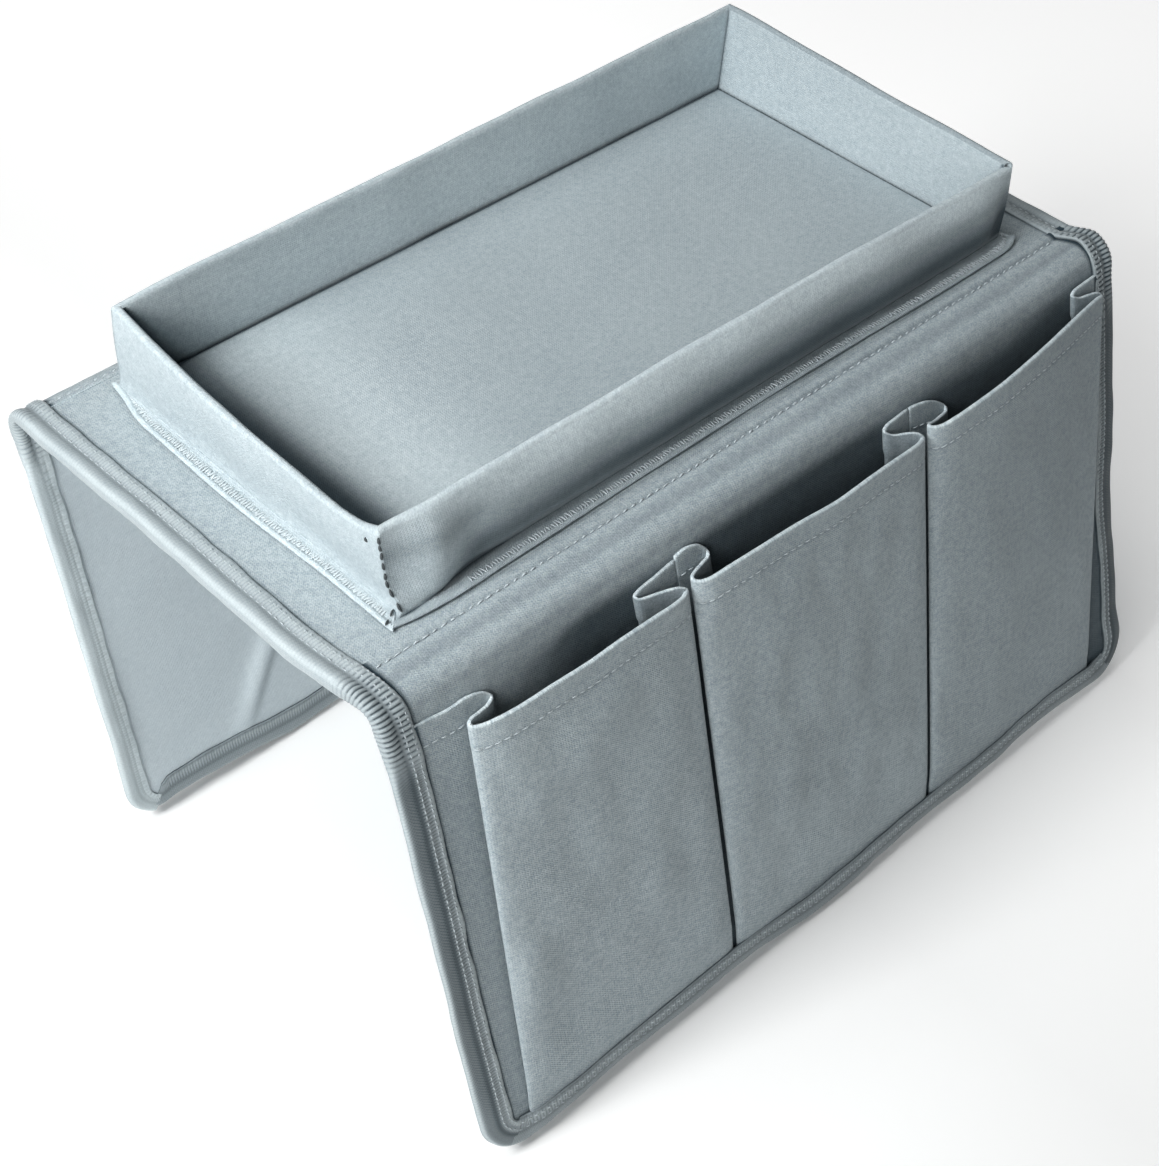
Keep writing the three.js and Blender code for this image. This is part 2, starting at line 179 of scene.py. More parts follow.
def sheet_parts(p, out, inn, uv, dark=0.0, dark_in=None, rim=0.0):
    """Points and quads of a cloth with thickness round the surface p, with a rounded rim."""
    nu, nv = p.shape[:2]
    n = grid_normals(p)
    out = np.broadcast_to(np.asarray(out, float), (nu, nv))
    inn = np.broadcast_to(np.asarray(inn, float), (nu, nv))
    a = p + n * out[..., None]
    b = p - n * inn[..., None]
    idx = np.arange(nu * nv).reshape(nu, nv)
    q = [
        np.stack([idx[:-1, :-1], idx[1:, :-1], idx[1:, 1:], idx[:-1, 1:]], -1).reshape(-1, 4),
        np.stack([idx[:-1, :-1], idx[:-1, 1:], idx[1:, 1:], idx[1:, :-1]], -1).reshape(-1, 4) + nu * nv,
    ]
    loop = np.concatenate([idx[0, :], idx[1:, -1], idx[-1, -2::-1], idx[-2:0:-1, 0]])
    away = np.zeros((nu, nv, 3))
    away[0] += unit(p[0] - p[1])
    away[-1] += unit(p[-1] - p[-2])
    away[:, 0] += unit(p[:, 0] - p[:, 1])
    away[:, -1] += unit(p[:, -1] - p[:, -2])
    flat_away = unit(away.reshape(-1, 3))[loop]
    fa, fb = a.reshape(-1, 3)[loop], b.reshape(-1, 3)[loop]
    half = np.linalg.norm(fa - fb, axis=1)[:, None] * 0.5
    rims = [
        (fa + fb) / 2 + flat_away * half * 0.62 + (fa - fb) * 0.36,
        (fa + fb) / 2 + flat_away * half * 0.9,
        (fa + fb) / 2 + flat_away * half * 0.62 - (fa - fb) * 0.36,
    ]
    m = len(loop)
    base = 2 * nu * nv
    rows = [loop] + [base + k * m + np.arange(m) for k in range(3)] + [loop + nu * nv]
    for r0, r1 in zip(rows[:-1], rows[1:]):
        q.append(np.stack([r0, np.roll(r0, -1), np.roll(r1, -1), r1], -1))
    verts = np.concatenate([a.reshape(-1, 3), b.reshape(-1, 3), *rims])
    uvf = np.asarray(uv, float).reshape(-1, 2)
    uvs = np.concatenate([uvf, uvf, uvf[loop], uvf[loop], uvf[loop]])
    da = np.broadcast_to(np.asarray(dark, float), (nu, nv)).reshape(-1)
    db = da if dark_in is None else np.broadcast_to(np.asarray(dark_in, float), (nu, nv)).reshape(-1)
    # the rounded rim takes half the faces' painted shade, less rim: a painted highlight along the edge where rim is
    # above zero, painted shade where it is below
    dr = (da[loop] + db[loop]) / 2 * 0.5 - rim
    return verts, np.concatenate(q), uvs, np.concatenate([da, db, dr, dr, dr])


def cloth_sheet(name, p, out, inn, uv, mat, dark=0.0, dark_in=None, rim=0.0):
    v, q, u, d = sheet_parts(p, out, inn, uv, dark, dark_in, rim)
    return make(name, v, q, mat, u, dark=d)


def join_parts(name, parts, mat):
    """One object from several (verts, quads, uv) parts."""
    vs, qs, us, base = [], [], [], 0
    for v, q, u in parts:
        vs.append(v)
        qs.append(q + base)
        us.append(u)
        base += len(v)
    return make(name, np.concatenate(vs), np.concatenate(qs), mat, np.concatenate(us))


def along(points, step):
    """Points at equal steps along a polyline, and which parameter each has."""
    points = np.asarray(points, float)
    d = np.concatenate([[0], np.cumsum(np.linalg.norm(np.diff(points, axis=0), axis=1))])
    count = max(2, int(round(d[-1] / step)) + 1)
    s = np.linspace(0, d[-1], count)
    return np.stack([np.interp(s, d, points[:, k]) for k in range(points.shape[1])], 1), s


SIDES = 6
STATIONS = np.array([-1, -0.8, -0.4, 0, 0.4, 0.8, 1.0])


def thread_parts(centres, tangents, normals, length, width, height, lift=0.0, seed=1, jitter=0.12, slant=0.0):
    """Stitches: one lens-shaped stretch of thread at each centre, dipping into the cloth at both ends."""
    r = np.random.default_rng(seed)
    centres, tangents, normals = (np.asarray(x, float) for x in (centres, tangents, normals))
    n = len(centres)
    tangents = unit(tangents)
    normals = unit(normals - tangents * np.sum(normals * tangents, -1, keepdims=True))
    side = np.cross(tangents, normals)
    ang = slant + r.normal(0, jitter * 0.35, n)
    t2 = tangents * np.cos(ang)[:, None] + side * np.sin(ang)[:, None]
    s2 = np.cross(t2, normals)
    ln = length * (1 + r.uniform(-jitter, jitter, n))
    hh = height * (1 + r.uniform(-jitter, jitter, n))
    phi = np.linspace(0, 2 * PI, SIDES, endpoint=False)
    radius = np.sqrt(np.clip(1 - STATIONS**2, 0.02, 1))
    rise = lift + hh[:, None] * (0.75 * (1 - STATIONS[None] ** 2) - 0.35)
    v = (
        centres[:, None, None]
        + t2[:, None, None] * (STATIONS[None, :, None, None] * ln[:, None, None, None] / 2)
        + normals[:, None, None] * (rise[:, :, None, None] + radius[None, :, None, None] * np.sin(phi)[None, None, :, None] * hh[:, None, None, None] * 0.6)
        + s2[:, None, None] * (radius[None, :, None, None] * np.cos(phi)[None, None, :, None] * width / 2)
    )
    k = len(STATIONS)
    idx = np.arange(k * SIDES).reshape(k, SIDES)
    nxt = np.roll(idx, -1, axis=1)
    q = np.stack([idx[:-1], idx[1:], nxt[1:], nxt[:-1]], -1).reshape(-1, 4)
    caps = [[0, 1, 2, 3], [0, 3, 4, 5]]
    last = (k - 1) * SIDES
    caps += [[last + 3, last + 2, last + 1, last], [last + 5, last + 4, last + 3, last]]
    q = np.concatenate([q, np.array(caps)])
    allq = (q[None] + (np.arange(n) * k * SIDES)[:, None, None]).reshape(-1, 4)
    uv = np.stack(
        [
            np.broadcast_to(STATIONS[None, :, None] * length / 2 * MM, (n, k, SIDES)) + np.arange(n)[:, None, None] * 0.01,
            np.broadcast_to(phi[None, None] * width / 2 * MM / 2, (n, k, SIDES)),
        ],
        -1,
    ).reshape(-1, 2)
    return v.reshape(-1, 3), allq, uv


def stitch_line(points, normals, pitch, length, width, height, **kw):
    """Stitches at equal steps along a line of points with a normal at each."""
    points = np.asarray(points, float)
    normals = np.asarray(normals, float)
    both, s = along(np.concatenate([points, normals], 1), 0.4)
    d = np.concatenate([[0], np.cumsum(np.linalg.norm(np.diff(both[:, :3], axis=0), axis=1))])
    at = np.arange(pitch * 0.6, d[-1] - pitch * 0.4, pitch)
    c = np.stack([np.interp(at, d, both[:, k]) for k in range(6)], 1)
    ahead = np.stack([np.interp(at + 0.5, d, both[:, k]) for k in range(3)], 1)
    behind = np.stack([np.interp(at - 0.5, d, both[:, k]) for k in range(3)], 1)
    return thread_parts(c[:, :3], ahead - behind, c[:, 3:], length, width, height, **kw)


# ------------------------------------------------------------------ materials


class Nodes:
    """A short way to wire shader nodes."""

    def __init__(self, name):
        self.mat = bpy.data.materials.new(name)
        self.mat.use_nodes = True
        self.tree = self.mat.node_tree
        self.tree.nodes.clear()
        self.out = self.tree.nodes.new("ShaderNodeOutputMaterial")
        self.bsdf = self.tree.nodes.new("ShaderNodeBsdfPrincipled")
        self.tree.links.new(self.bsdf.outputs[0], self.out.inputs[0])

    def set(self, node, key, value):
        if isinstance(value, bpy.types.NodeSocket):
            self.tree.links.new(value, node.inputs[key])
        else:
            node.inputs[key].default_value = value

    def math(self, op, a, b=0.0, c=None, clamp=False):
        n = self.tree.nodes.new("ShaderNodeMath")
        n.operation = op
        n.use_clamp = clamp
        self.set(n, 0, a)
        self.set(n, 1, b)
        if c is not None:
            self.set(n, 2, c)
        return n.outputs[0]

    def uv(self):
        n = self.tree.nodes.new("ShaderNodeUVMap")
        n.uv_map = "cloth"
        s = self.tree.nodes.new("ShaderNodeSeparateXYZ")
        self.tree.links.new(n.outputs[0], s.inputs[0])
        return n.outputs[0], s.outputs[0], s.outputs[1]

    def obj(self):
        n = self.tree.nodes.new("ShaderNodeTexCoord")
        return n.outputs["Object"]

    def noise(self, vec, scale, detail=2.0, rough=0.5, distortion=0.0):
        n = self.tree.nodes.new("ShaderNodeTexNoise")
        self.tree.links.new(vec, n.inputs["Vector"])
        n.inputs["Scale"].default_value = scale
        n.inputs["Detail"].default_value = detail
        n.inputs["Roughness"].default_value = rough
        n.inputs["Distortion"].default_value = distortion
        return n.outputs[0]

    def mix(self, fac, a, b):
        n = self.tree.nodes.new("ShaderNodeMix")
        n.data_type = "RGBA"
        self.set(n, 0, fac)
        for key, value in ((6, a), (7, b)):
            if isinstance(value, bpy.types.NodeSocket):
                self.tree.links.new(value, n.inputs[key])
            else:
                n.inputs[key].default_value = (*value, 1.0)
        return n.outputs[2]

    def painted_shading(self, colour):
        """Colour darkened by painted shade or paled by painted highlight, from the mesh's own dark value."""
        n = self.tree.nodes.new("ShaderNodeAttribute")
        n.attribute_type = "GEOMETRY"
        n.attribute_name = "dark"
        fac = n.outputs["Fac"]
        deep = self.math("MULTIPLY", fac, 1.0, clamp=True)
        pale = self.math("MULTIPLY", fac, -1.0, clamp=True)
        colour = self.mix(pale, colour, self.tint(colour, (2.05, 2.0, 1.96)))
        return self.mix(deep, colour, self.tint(colour, (0.055, 0.095, 0.12)))

    def tint(self, colour, k):
        n = self.tree.nodes.new("ShaderNodeMix")
        n.data_type = "RGBA"
        n.blend_type = "MULTIPLY"
        n.inputs[0].default_value = 1.0
        self.tree.links.new(colour, n.inputs[6])
        n.inputs[7].default_value = (*k, 1.0)
        return n.outputs[2]

    def bump(self, height, strength, distance, normal=None):
        n = self.tree.nodes.new("ShaderNodeBump")
        n.inputs["Strength"].default_value = strength
        n.inputs["Distance"].default_value = distance
        self.tree.links.new(height, n.inputs["Height"])
        if normal is not None:
            self.tree.links.new(normal, n.inputs["Normal"])
        return n.outputs[0]


def rgb(r, g, b):
    """A linear colour from one given as 0..255 on a screen."""
    f = lambda c: c / 255 / 12.92 if c / 255 <= 0.04045 else ((c / 255 + 0.055) / 1.055) ** 2.4
    return (f(r), f(g), f(b))


def shade(c, k):
    return tuple(min(1.0, x * k) for x in c)


def woven(name, base, pitch=0.84, contrast=0.26, depth=0.24, rough=0.84, sheen=0.12, fleck=1.1, mottle=0.075, twill=0.0):
    """Plain or twill woven cloth: crossing threads, uneven yarn, and soft larger mottling."""
    k = Nodes(name)
    vec, u, v = k.uv()
    objv = k.obj()
    # each yarn wanders a little, so the threads aren't ruled lines
    drift = k.noise(vec, 160.0, 2.0, 0.5)
    drift = k.math("MULTIPLY", k.math("SUBTRACT", drift, 0.5), 2.2)
    per = 2 * PI / (pitch * MM)
    a = k.math("ADD", k.math("MULTIPLY", u, per), drift)
    b = k.math("SUBTRACT", k.math("MULTIPLY", v, per), drift)
    if twill:
        a = k.math("ADD", a, k.math("MULTIPLY", b, twill))
    su, sv = k.math("SINE", a), k.math("SINE", b)
    cross = k.math("MULTIPLY", su, sv)
    cu = k.math("ABSOLUTE", k.math("SINE", k.math("MULTIPLY", a, 0.5)))
    cv = k.math("ABSOLUTE", k.math("SINE", k.math("MULTIPLY", b, 0.5)))
    lanes = k.math("MULTIPLY", cu, cv)
    grain = k.noise(vec, 1500.0, 3.0, 0.62)
    yarn = k.noise(vec, 420.0, 3.0, 0.6)
    height = k.math("ADD", k.math("MULTIPLY", cross, 0.32), k.math("MULTIPLY", lanes, 0.5))
    height = k.math("ADD", height, k.math("MULTIPLY", grain, 0.9))
    height = k.math("ADD", height, k.math("MULTIPLY", yarn, 0.5))
    soft = k.noise(objv, 22.0, 3.0, 0.55)
    fine = k.noise(objv, 95.0, 2.0, 0.5)
    tone = k.math("ADD", k.math("MULTIPLY", cross, 0.5 * contrast), k.math("MULTIPLY", k.math("SUBTRACT", grain, 0.5), fleck * 2.2))
    tone = k.math("ADD", tone, k.math("MULTIPLY", k.math("SUBTRACT", yarn, 0.5), fleck * 1.4))
    tone = k.math("ADD", tone, k.math("MULTIPLY", k.math("SUBTRACT", soft, 0.5), mottle * 4))
    tone = k.math("ADD", tone, k.math("MULTIPLY", k.math("SUBTRACT", fine, 0.5), mottle * 2.5))
    fac = k.math("ADD", tone, 0.5, clamp=True)
    cool = (base[0] * 0.72, base[1] * 0.755, base[2] * 0.785)
    warm = (base[0] * 1.28, base[1] * 1.245, base[2] * 1.215)
    # base colour with painted shade and painted highlight from the mesh's dark value
    colour = k.painted_shading(k.mix(fac, cool, warm))
    k.tree.links.new(colour, k.bsdf.inputs["Base Color"])
    k.bsdf.inputs["Roughness"].default_value = rough
    k.bsdf.inputs["Specular IOR Level"].default_value = 0.32
    k.bsdf.inputs["Sheen Weight"].default_value = sheen
    k.bsdf.inputs["Sheen Roughness"].default_value = 0.45
    k.bsdf.inputs["Sheen Tint"].default_value = (0.86, 0.92, 0.96, 1)
    k.tree.links.new(k.bump(height, 0.55, depth * MM), k.bsdf.inputs["Normal"])
    return k.mat


def tape_cloth(name, base):
    """Ribbed binding tape: the ribs are in the mesh, and the yarn between them is here."""
    k = Nodes(name)
    vec, u, v = k.uv()
    objv = k.obj()
    rib = k.math("SINE", k.math("MULTIPLY", u, 2 * PI / (0.62 * MM)))
    run = k.math("SINE", k.math("MULTIPLY", v, 2 * PI / (0.8 * MM)))
    grain = k.noise(vec, 1300.0, 3.0, 0.6)
    soft = k.noise(objv, 40.0, 3.0, 0.55)
    tone = k.math("ADD", k.math("MULTIPLY", k.math("MULTIPLY", rib, run), 0.10), k.math("MULTIPLY", k.math("SUBTRACT", grain, 0.5), 0.8))
    tone = k.math("ADD", tone, k.math("MULTIPLY", k.math("SUBTRACT", soft, 0.5), 0.5))
    fac = k.math("ADD", tone, 0.5, clamp=True)
    # base colour with painted shade and painted highlight from the mesh's dark value
    colour = k.painted_shading(k.mix(fac, (base[0] * 0.66, base[1] * 0.70, base[2] * 0.73), (base[0] * 1.34, base[1] * 1.30, base[2] * 1.27)))
    k.tree.links.new(colour, k.bsdf.inputs["Base Color"])
    k.bsdf.inputs["Roughness"].default_value = 0.68
    k.bsdf.inputs["Specular IOR Level"].default_value = 0.4
    k.bsdf.inputs["Sheen Weight"].default_value = 0.12
    k.bsdf.inputs["Sheen Roughness"].default_value = 0.4
    height = k.math("ADD", k.math("MULTIPLY", k.math("MULTIPLY", rib, run), 0.35), k.math("MULTIPLY", grain, 0.8))
    k.tree.links.new(k.bump(height, 0.5, 0.12 * MM), k.bsdf.inputs["Normal"])
    return k.mat


def thread_mat(name, base):
    """Twisted sewing thread."""
    k = Nodes(name)
    vec, u, v = k.uv()
    twist = k.math("SINE", k.math("ADD", k.math("MULTIPLY", u, 2 * PI / (0.55 * MM)), k.math("MULTIPLY", v, 2 * PI / (0.5 * MM))))
    grain = k.noise(vec, 2500.0, 2.0, 0.6)
    tone = k.math("ADD", k.math("MULTIPLY", twist, 0.22), k.math("MULTIPLY", k.math("SUBTRACT", grain, 0.5), 0.7))
    fac = k.math("ADD", tone, 0.55, clamp=True)
    k.tree.links.new(k.mix(fac, shade(base, 0.6), shade(base, 1.3)), k.bsdf.inputs["Base Color"])
    k.bsdf.inputs["Roughness"].default_value = 0.5
    k.bsdf.inputs["Specular IOR Level"].default_value = 0.5
    k.bsdf.inputs["Sheen Weight"].default_value = 0.1
    k.tree.links.new(k.bump(twist, 0.4, 0.08 * MM), k.bsdf.inputs["Normal"])
    return k.mat


def card_mat(name, base):
    """Pressed grey board, seen only if the cloth is off it."""
    k = Nodes(name)
    vec = k.obj()
    fibre = k.noise(vec, 900.0, 4.0, 0.7)
    cloud = k.noise(vec, 60.0, 3.0, 0.6)
    fac = k.math("ADD", k.math("MULTIPLY", fibre, 0.6), k.math("MULTIPLY", cloud, 0.4), clamp=True)
    k.tree.links.new(k.mix(fac, shade(base, 0.75), shade(base, 1.2)), k.bsdf.inputs["Base Color"])
    k.bsdf.inputs["Roughness"].default_value = 0.92
    k.bsdf.inputs["Specular IOR Level"].default_value = 0.2
    k.tree.links.new(k.bump(fibre, 0.4, 0.15 * MM), k.bsdf.inputs["Normal"])
    return k.mat


GREY = (0.335, 0.392, 0.418)
CLOTH = woven("organizer_cloth", GREY)
TRAY = woven("organizer_tray_cloth", shade(GREY, 1.04), contrast=0.14, depth=0.18, fleck=0.75, mottle=0.06)
LINING = woven("organizer_lining", (0.47, 0.533, 0.565), pitch=0.6, contrast=0.16, depth=0.1, rough=0.8, fleck=0.35, mottle=0.05)
TAPE = tape_cloth("organizer_binding_tape", (0.315, 0.362, 0.380))
THREAD = thread_mat("organizer_thread", (0.56, 0.62, 0.65))
HEM_THREAD = thread_mat("organizer_hem_thread", (0.46, 0.52, 0.55))
TRAY_THREAD = thread_mat("organizer_tray_thread", (0.52, 0.585, 0.61))
TAPE_THREAD = thread_mat("organizer_tape_thread", (0.36, 0.41, 0.435))
DARK_THREAD = thread_mat("organizer_dark_thread", (0.035, 0.045, 0.05))
CARD = card_mat("organizer_card", (0.27, 0.26, 0.24))

# ------------------------------------------------------------------ the saddle's profile

TOP_Z = 3.6
THICK = 3.6


class Side:
    """The section of one side in (a, z): a is the distance out from the middle, s runs down from the corner."""

    def __init__(self, sign, corner, lean, radius, axis, d0, drop, body, prefix):
        self.sign, self.corner, self.lean, self.radius = sign, corner, lean, radius
        self.axis, self.d0, self.drop, self.body, self.prefix = axis, d0, drop, body, prefix
        self.turn = PI / 2 - lean
        self.t = radius * math.tan(self.turn / 2)
        self.bottom = drop + d0            # s of the outer edge of the tape
        self.s0, self.s1 = -(self.t + 3), self.t + 3
        self.inner_start = corner + self.s0
        self.inner_arc = 3.4 * self.turn
        self.inner_len = (axis - self.inner_start) + self.inner_arc + (self.s1 - d0)

    def outer(self, s):
        """Point and normal on the outer face."""
        s = np.asarray(s, float)
        phi = PI / 2 - self.turn * np.clip((s + self.t) / (2 * self.t), 0, 1)
        ca, cz = self.corner - self.t, TOP_Z - self.radius
        a = ca + self.radius * np.cos(phi)
        z = cz + self.radius * np.sin(phi)
        a = a + np.where(s < -self.t, s + self.t, 0) + np.where(s > self.t, (s - self.t) * math.sin(self.lean), 0)
        z = z - np.where(s > self.t, (s - self.t) * math.cos(self.lean), 0)
        return a, z, np.cos(phi), np.sin(phi)

    def inner(self, s):
        """Point and outward normal on the lining's inner face."""
        s = np.asarray(s, float)
        k = (s - self.s0) / (self.s1 - self.s0)
        run = np.clip(k, 0, 1) * self.inner_len
        flat = self.axis - self.inner_start
        phi = PI / 2 - self.turn * np.clip((run - flat) / self.inner_arc, 0, 1)
        a = self.axis + 3.4 * np.cos(phi) + np.where(run < flat, run - flat, 0)
        z = -3.4 + 3.4 * np.sin(phi)
        rest = np.maximum(run - flat - self.inner_arc, 0) + np.where(s > self.s1, s - self.s1, 0)
        a = a + rest * math.sin(self.lean) + np.where(s < self.s0, s - self.s0, 0)
        z = z - rest * math.cos(self.lean)
        return a, z, np.cos(phi), np.sin(phi)

    def sway(self, x, s):
        """How far the hanging flap bows off its plane, small where the board is and more at the free edges."""
        free = smooth(s, self.bottom - 14, self.bottom) * 0.8 + smooth(np.abs(x), 149, 160) * smooth(s, 30, 120) * 0.6
        return (0.13 * smooth(s, 20, 60) + free) * waves(x, s, 11 if self.sign < 0 else 12, 90)

    def at(self, x, s, h=0.0):
        """World point at x along the fold, s down the cloth and h out from the outer face. h of -3.6 is the lining's inner face."""
        x, s, h = np.broadcast_arrays(np.asarray(x, float), np.asarray(s, float), np.asarray(h, float))
        a, z, na, nz = self.outer(s)
        ia, iz, _, _ = self.inner(s)
        k = np.minimum(h, 0) / -THICK
        up = np.maximum(h, 0) + self.sway(x, s)
        a2 = a + (ia - a) * k + na * up
        z2 = z + (iz - z) * k + nz * up
        return np.stack([x, self.sign * a2, z2], -1)

    def normal(self, s):
        a, z, na, nz = self.outer(s)
        return np.stack([np.zeros_like(na), self.sign * na, nz], -1)

    def blend_line(self):
        """Where a piece stops following the top, and where it follows only the flap."""
        p = self.at(0, -11.5)
        q = self.at(0, 14.5)
        return [tuple(float(c) * MM for c in w) for w in (p, q)]


FRONT = Side(-1, 87.97, math.radians(14), 12.5, 82.5, 5.47, 173.5, "front_flap", "front")
BACK = Side(1, 88.04, math.radians(-10), 10.0, 79.7, 8.34, 169.0, "back_flap", "back")
TOP_BODY = "saddle_top"


def over_fold(piece, side):
    start, end = side.blend_line()
    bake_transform(piece)


# where the outer edge of the binding tape runs, left and right
def edge_left(side, s):
    if side.sign < 0:
        return -160.3 - 3.0 * (1 - smooth(s, -40, 6)) + 0.35 * np.sin(np.asarray(s) / 23.0)
    return -163.3 + 0.3 * np.sin(np.asarray(s) / 27.0)


def edge_right(side, s):
    s = np.asarray(s, float)
    if side.sign < 0:
        return 156.2 + 5.0 * smooth(s, -15, -4) - 2.6 * bump(s, 96, 60) + 1.0 * bump(s, 165, 14) + 0.5 * np.sin(s / 9.0) * smooth(s, 20, 60)
    return 157.5 + 2.2 * smooth(s, -14, 12) + 0.4 * np.sin(s / 21.0)


# ------------------------------------------------------------------ top panel and its lining

END_L, END_R = -163.3, 156.2


def by_tape(side, x, s):
    """Distance in from the inner edges of the side tapes."""
    return np.minimum(x - (edge_left(side, s) + 11.1), (edge_right(side, s) - 11.1) - x)


def tape_shadow(dist):
    """The dark line beside a bound edge, and the soft shade next to it."""
    d = np.maximum(dist, 0)
    return 0.85 * np.exp(-((d / 0.55) ** 2)) + 0.22 * np.exp(-d / 2.6)


def top_panel():
    x = np.linspace(END_L + 4, END_R - 4, 420)
    y = np.linspace(-74.4, 78.0, 190)
    xx, yy = np.meshgrid(x, y, indexing="ij")
    z = np.full_like(xx, TOP_Z - 0.4) + 0.16 * waves(xx, yy, 3, 60)
    z -= 0.7 * smooth(-yy, 73.2, 74.4)
    p = np.stack([xx, yy, z], -1)
    line = -(TRAY_Y - TRAY_HY - flange_width("front", np.clip(xx / 131.5, -1, 1))) + 0.1 - 0 * yy
    line = -yy - line
    # painted shadow line along the flange's edge, with soft painted shade beside it
    dark = 0.34 * ridge_at(line, 0.35, 0.35) * (np.abs(xx) < 134) + 0.10 * np.exp(-np.maximum(line, 0) / 1.6) * (line > -1) * (np.abs(xx) < 136)
    dark = dark + tape_shadow(np.minimum(xx - (END_L + 10.1), END_R - 10.1 - xx)) * 0.7
    o = cloth_sheet("top_panel", p, 0.4, 0.4, np.stack([xx, yy], -1) * MM, CLOTH, dark=dark)
    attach(o, TOP_BODY)
    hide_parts("top_cloth")
    return o


def lining_pieces():
    """The lining: one sheet under the top, and one round each fold and down the flap."""
    x = np.linspace(END_L + 3, END_R - 3, 160)
    y = np.linspace(-72, 70, 60)
    xx, yy = np.meshgrid(x, y, indexing="ij")
    z = 0.3 + 0.10 * waves(xx, yy, 31, 70) * smooth(np.minimum(yy + 72, 70 - yy), 0, 8)
    p = np.stack([xx, yy, z], -1)
    top = cloth_sheet("top_lining_sheet", p, 0.3, 0.3, np.stack([xx, yy], -1) * MM, LINING)
    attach(top, TOP_BODY)
    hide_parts("top_lining")
    for side in (FRONT, BACK):
        s_start = -(side.corner - 71.9) if side.sign < 0 else -(side.corner - 69.9)
        s = np.concatenate([np.linspace(s_start, side.s1, 46)[:-1], np.linspace(side.s1, side.bottom - 5, 84)])
        w = np.linspace(0, 1, 150)
        lo, hi = edge_left(side, s) + 3.5, edge_right(side, s) - 3.5
        pull = corner_pull(side, s, 3.5)
        xx = (lo + pull)[None] + (hi - lo - 2 * pull)[None] * w[:, None]
        ss = np.broadcast_to(s[None], xx.shape)
        a, z, na, nz = side.inner(ss)
        soft = 0.18 * waves(xx, ss, 41 + side.sign, 70) * smooth(ss, 18, 60) + wrinkle(side, xx, ss) + 0.12
        h = 0.3 - np.clip(soft, 0.0, 2.0)
        sw = side.sway(xx, ss)
        p = np.stack([xx, side.sign * (a + na * (h + sw)), z + nz * (h + sw)], -1)
        crease = wrinkle_shade(side, xx, ss) + np.zeros_like(xx)
        if side.sign > 0:
            p = p[::-1]
            xu, crease = xx[::-1], crease[::-1]
        else:
            xu = xx
        # p runs so that its normal points out of the saddle
        o = cloth_sheet(f"{side.prefix}_lining_sheet", p, 0.3, 0.3, np.stack([xu, ss], -1) * MM, LINING, dark=crease)
        over_fold(o, side)
        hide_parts(f"{side.prefix}_flap_lining")


def wrinkle(side, x, s):
    """One soft diagonal crease on the lining of the back flap."""
    if side.sign < 0:
        return 0.0
    across = (x + 99) * 0.857 + (s - 145) * 0.515
    alongw = -(x + 99) * 0.515 + (s - 145) * 0.857
    return 1.1 * np.exp(-(((across + 2.4) / 3.4) ** 2)) * np.exp(-((alongw / 24) ** 2))


def wrinkle_shade(side, x, s):
    if side.sign < 0:
        return 0.0
    across = (x + 99) * 0.857 + (s - 145) * 0.515
    alongw = -(x + 99) * 0.515 + (s - 145) * 0.857
    reach = np.exp(-((alongw / 24) ** 2))
    return (0.36 * ridge_at(across, 0.8, 1.6) - 0.22 * ridge_at(across, -7, 4.0)) * reach


def corner_pull(side, s, inset, radius=16.0):
    """How far the outline comes in at the rounded lower corners, for an outline inset from the tape's edge."""
    r = radius - inset * 0.6
    below = np.clip(np.asarray(s, float) - (side.bottom - inset - r), 0, r)
    return r - np.sqrt(np.maximum(r * r - below**2, 0))


# ------------------------------------------------------------------ outer cloth of the flaps


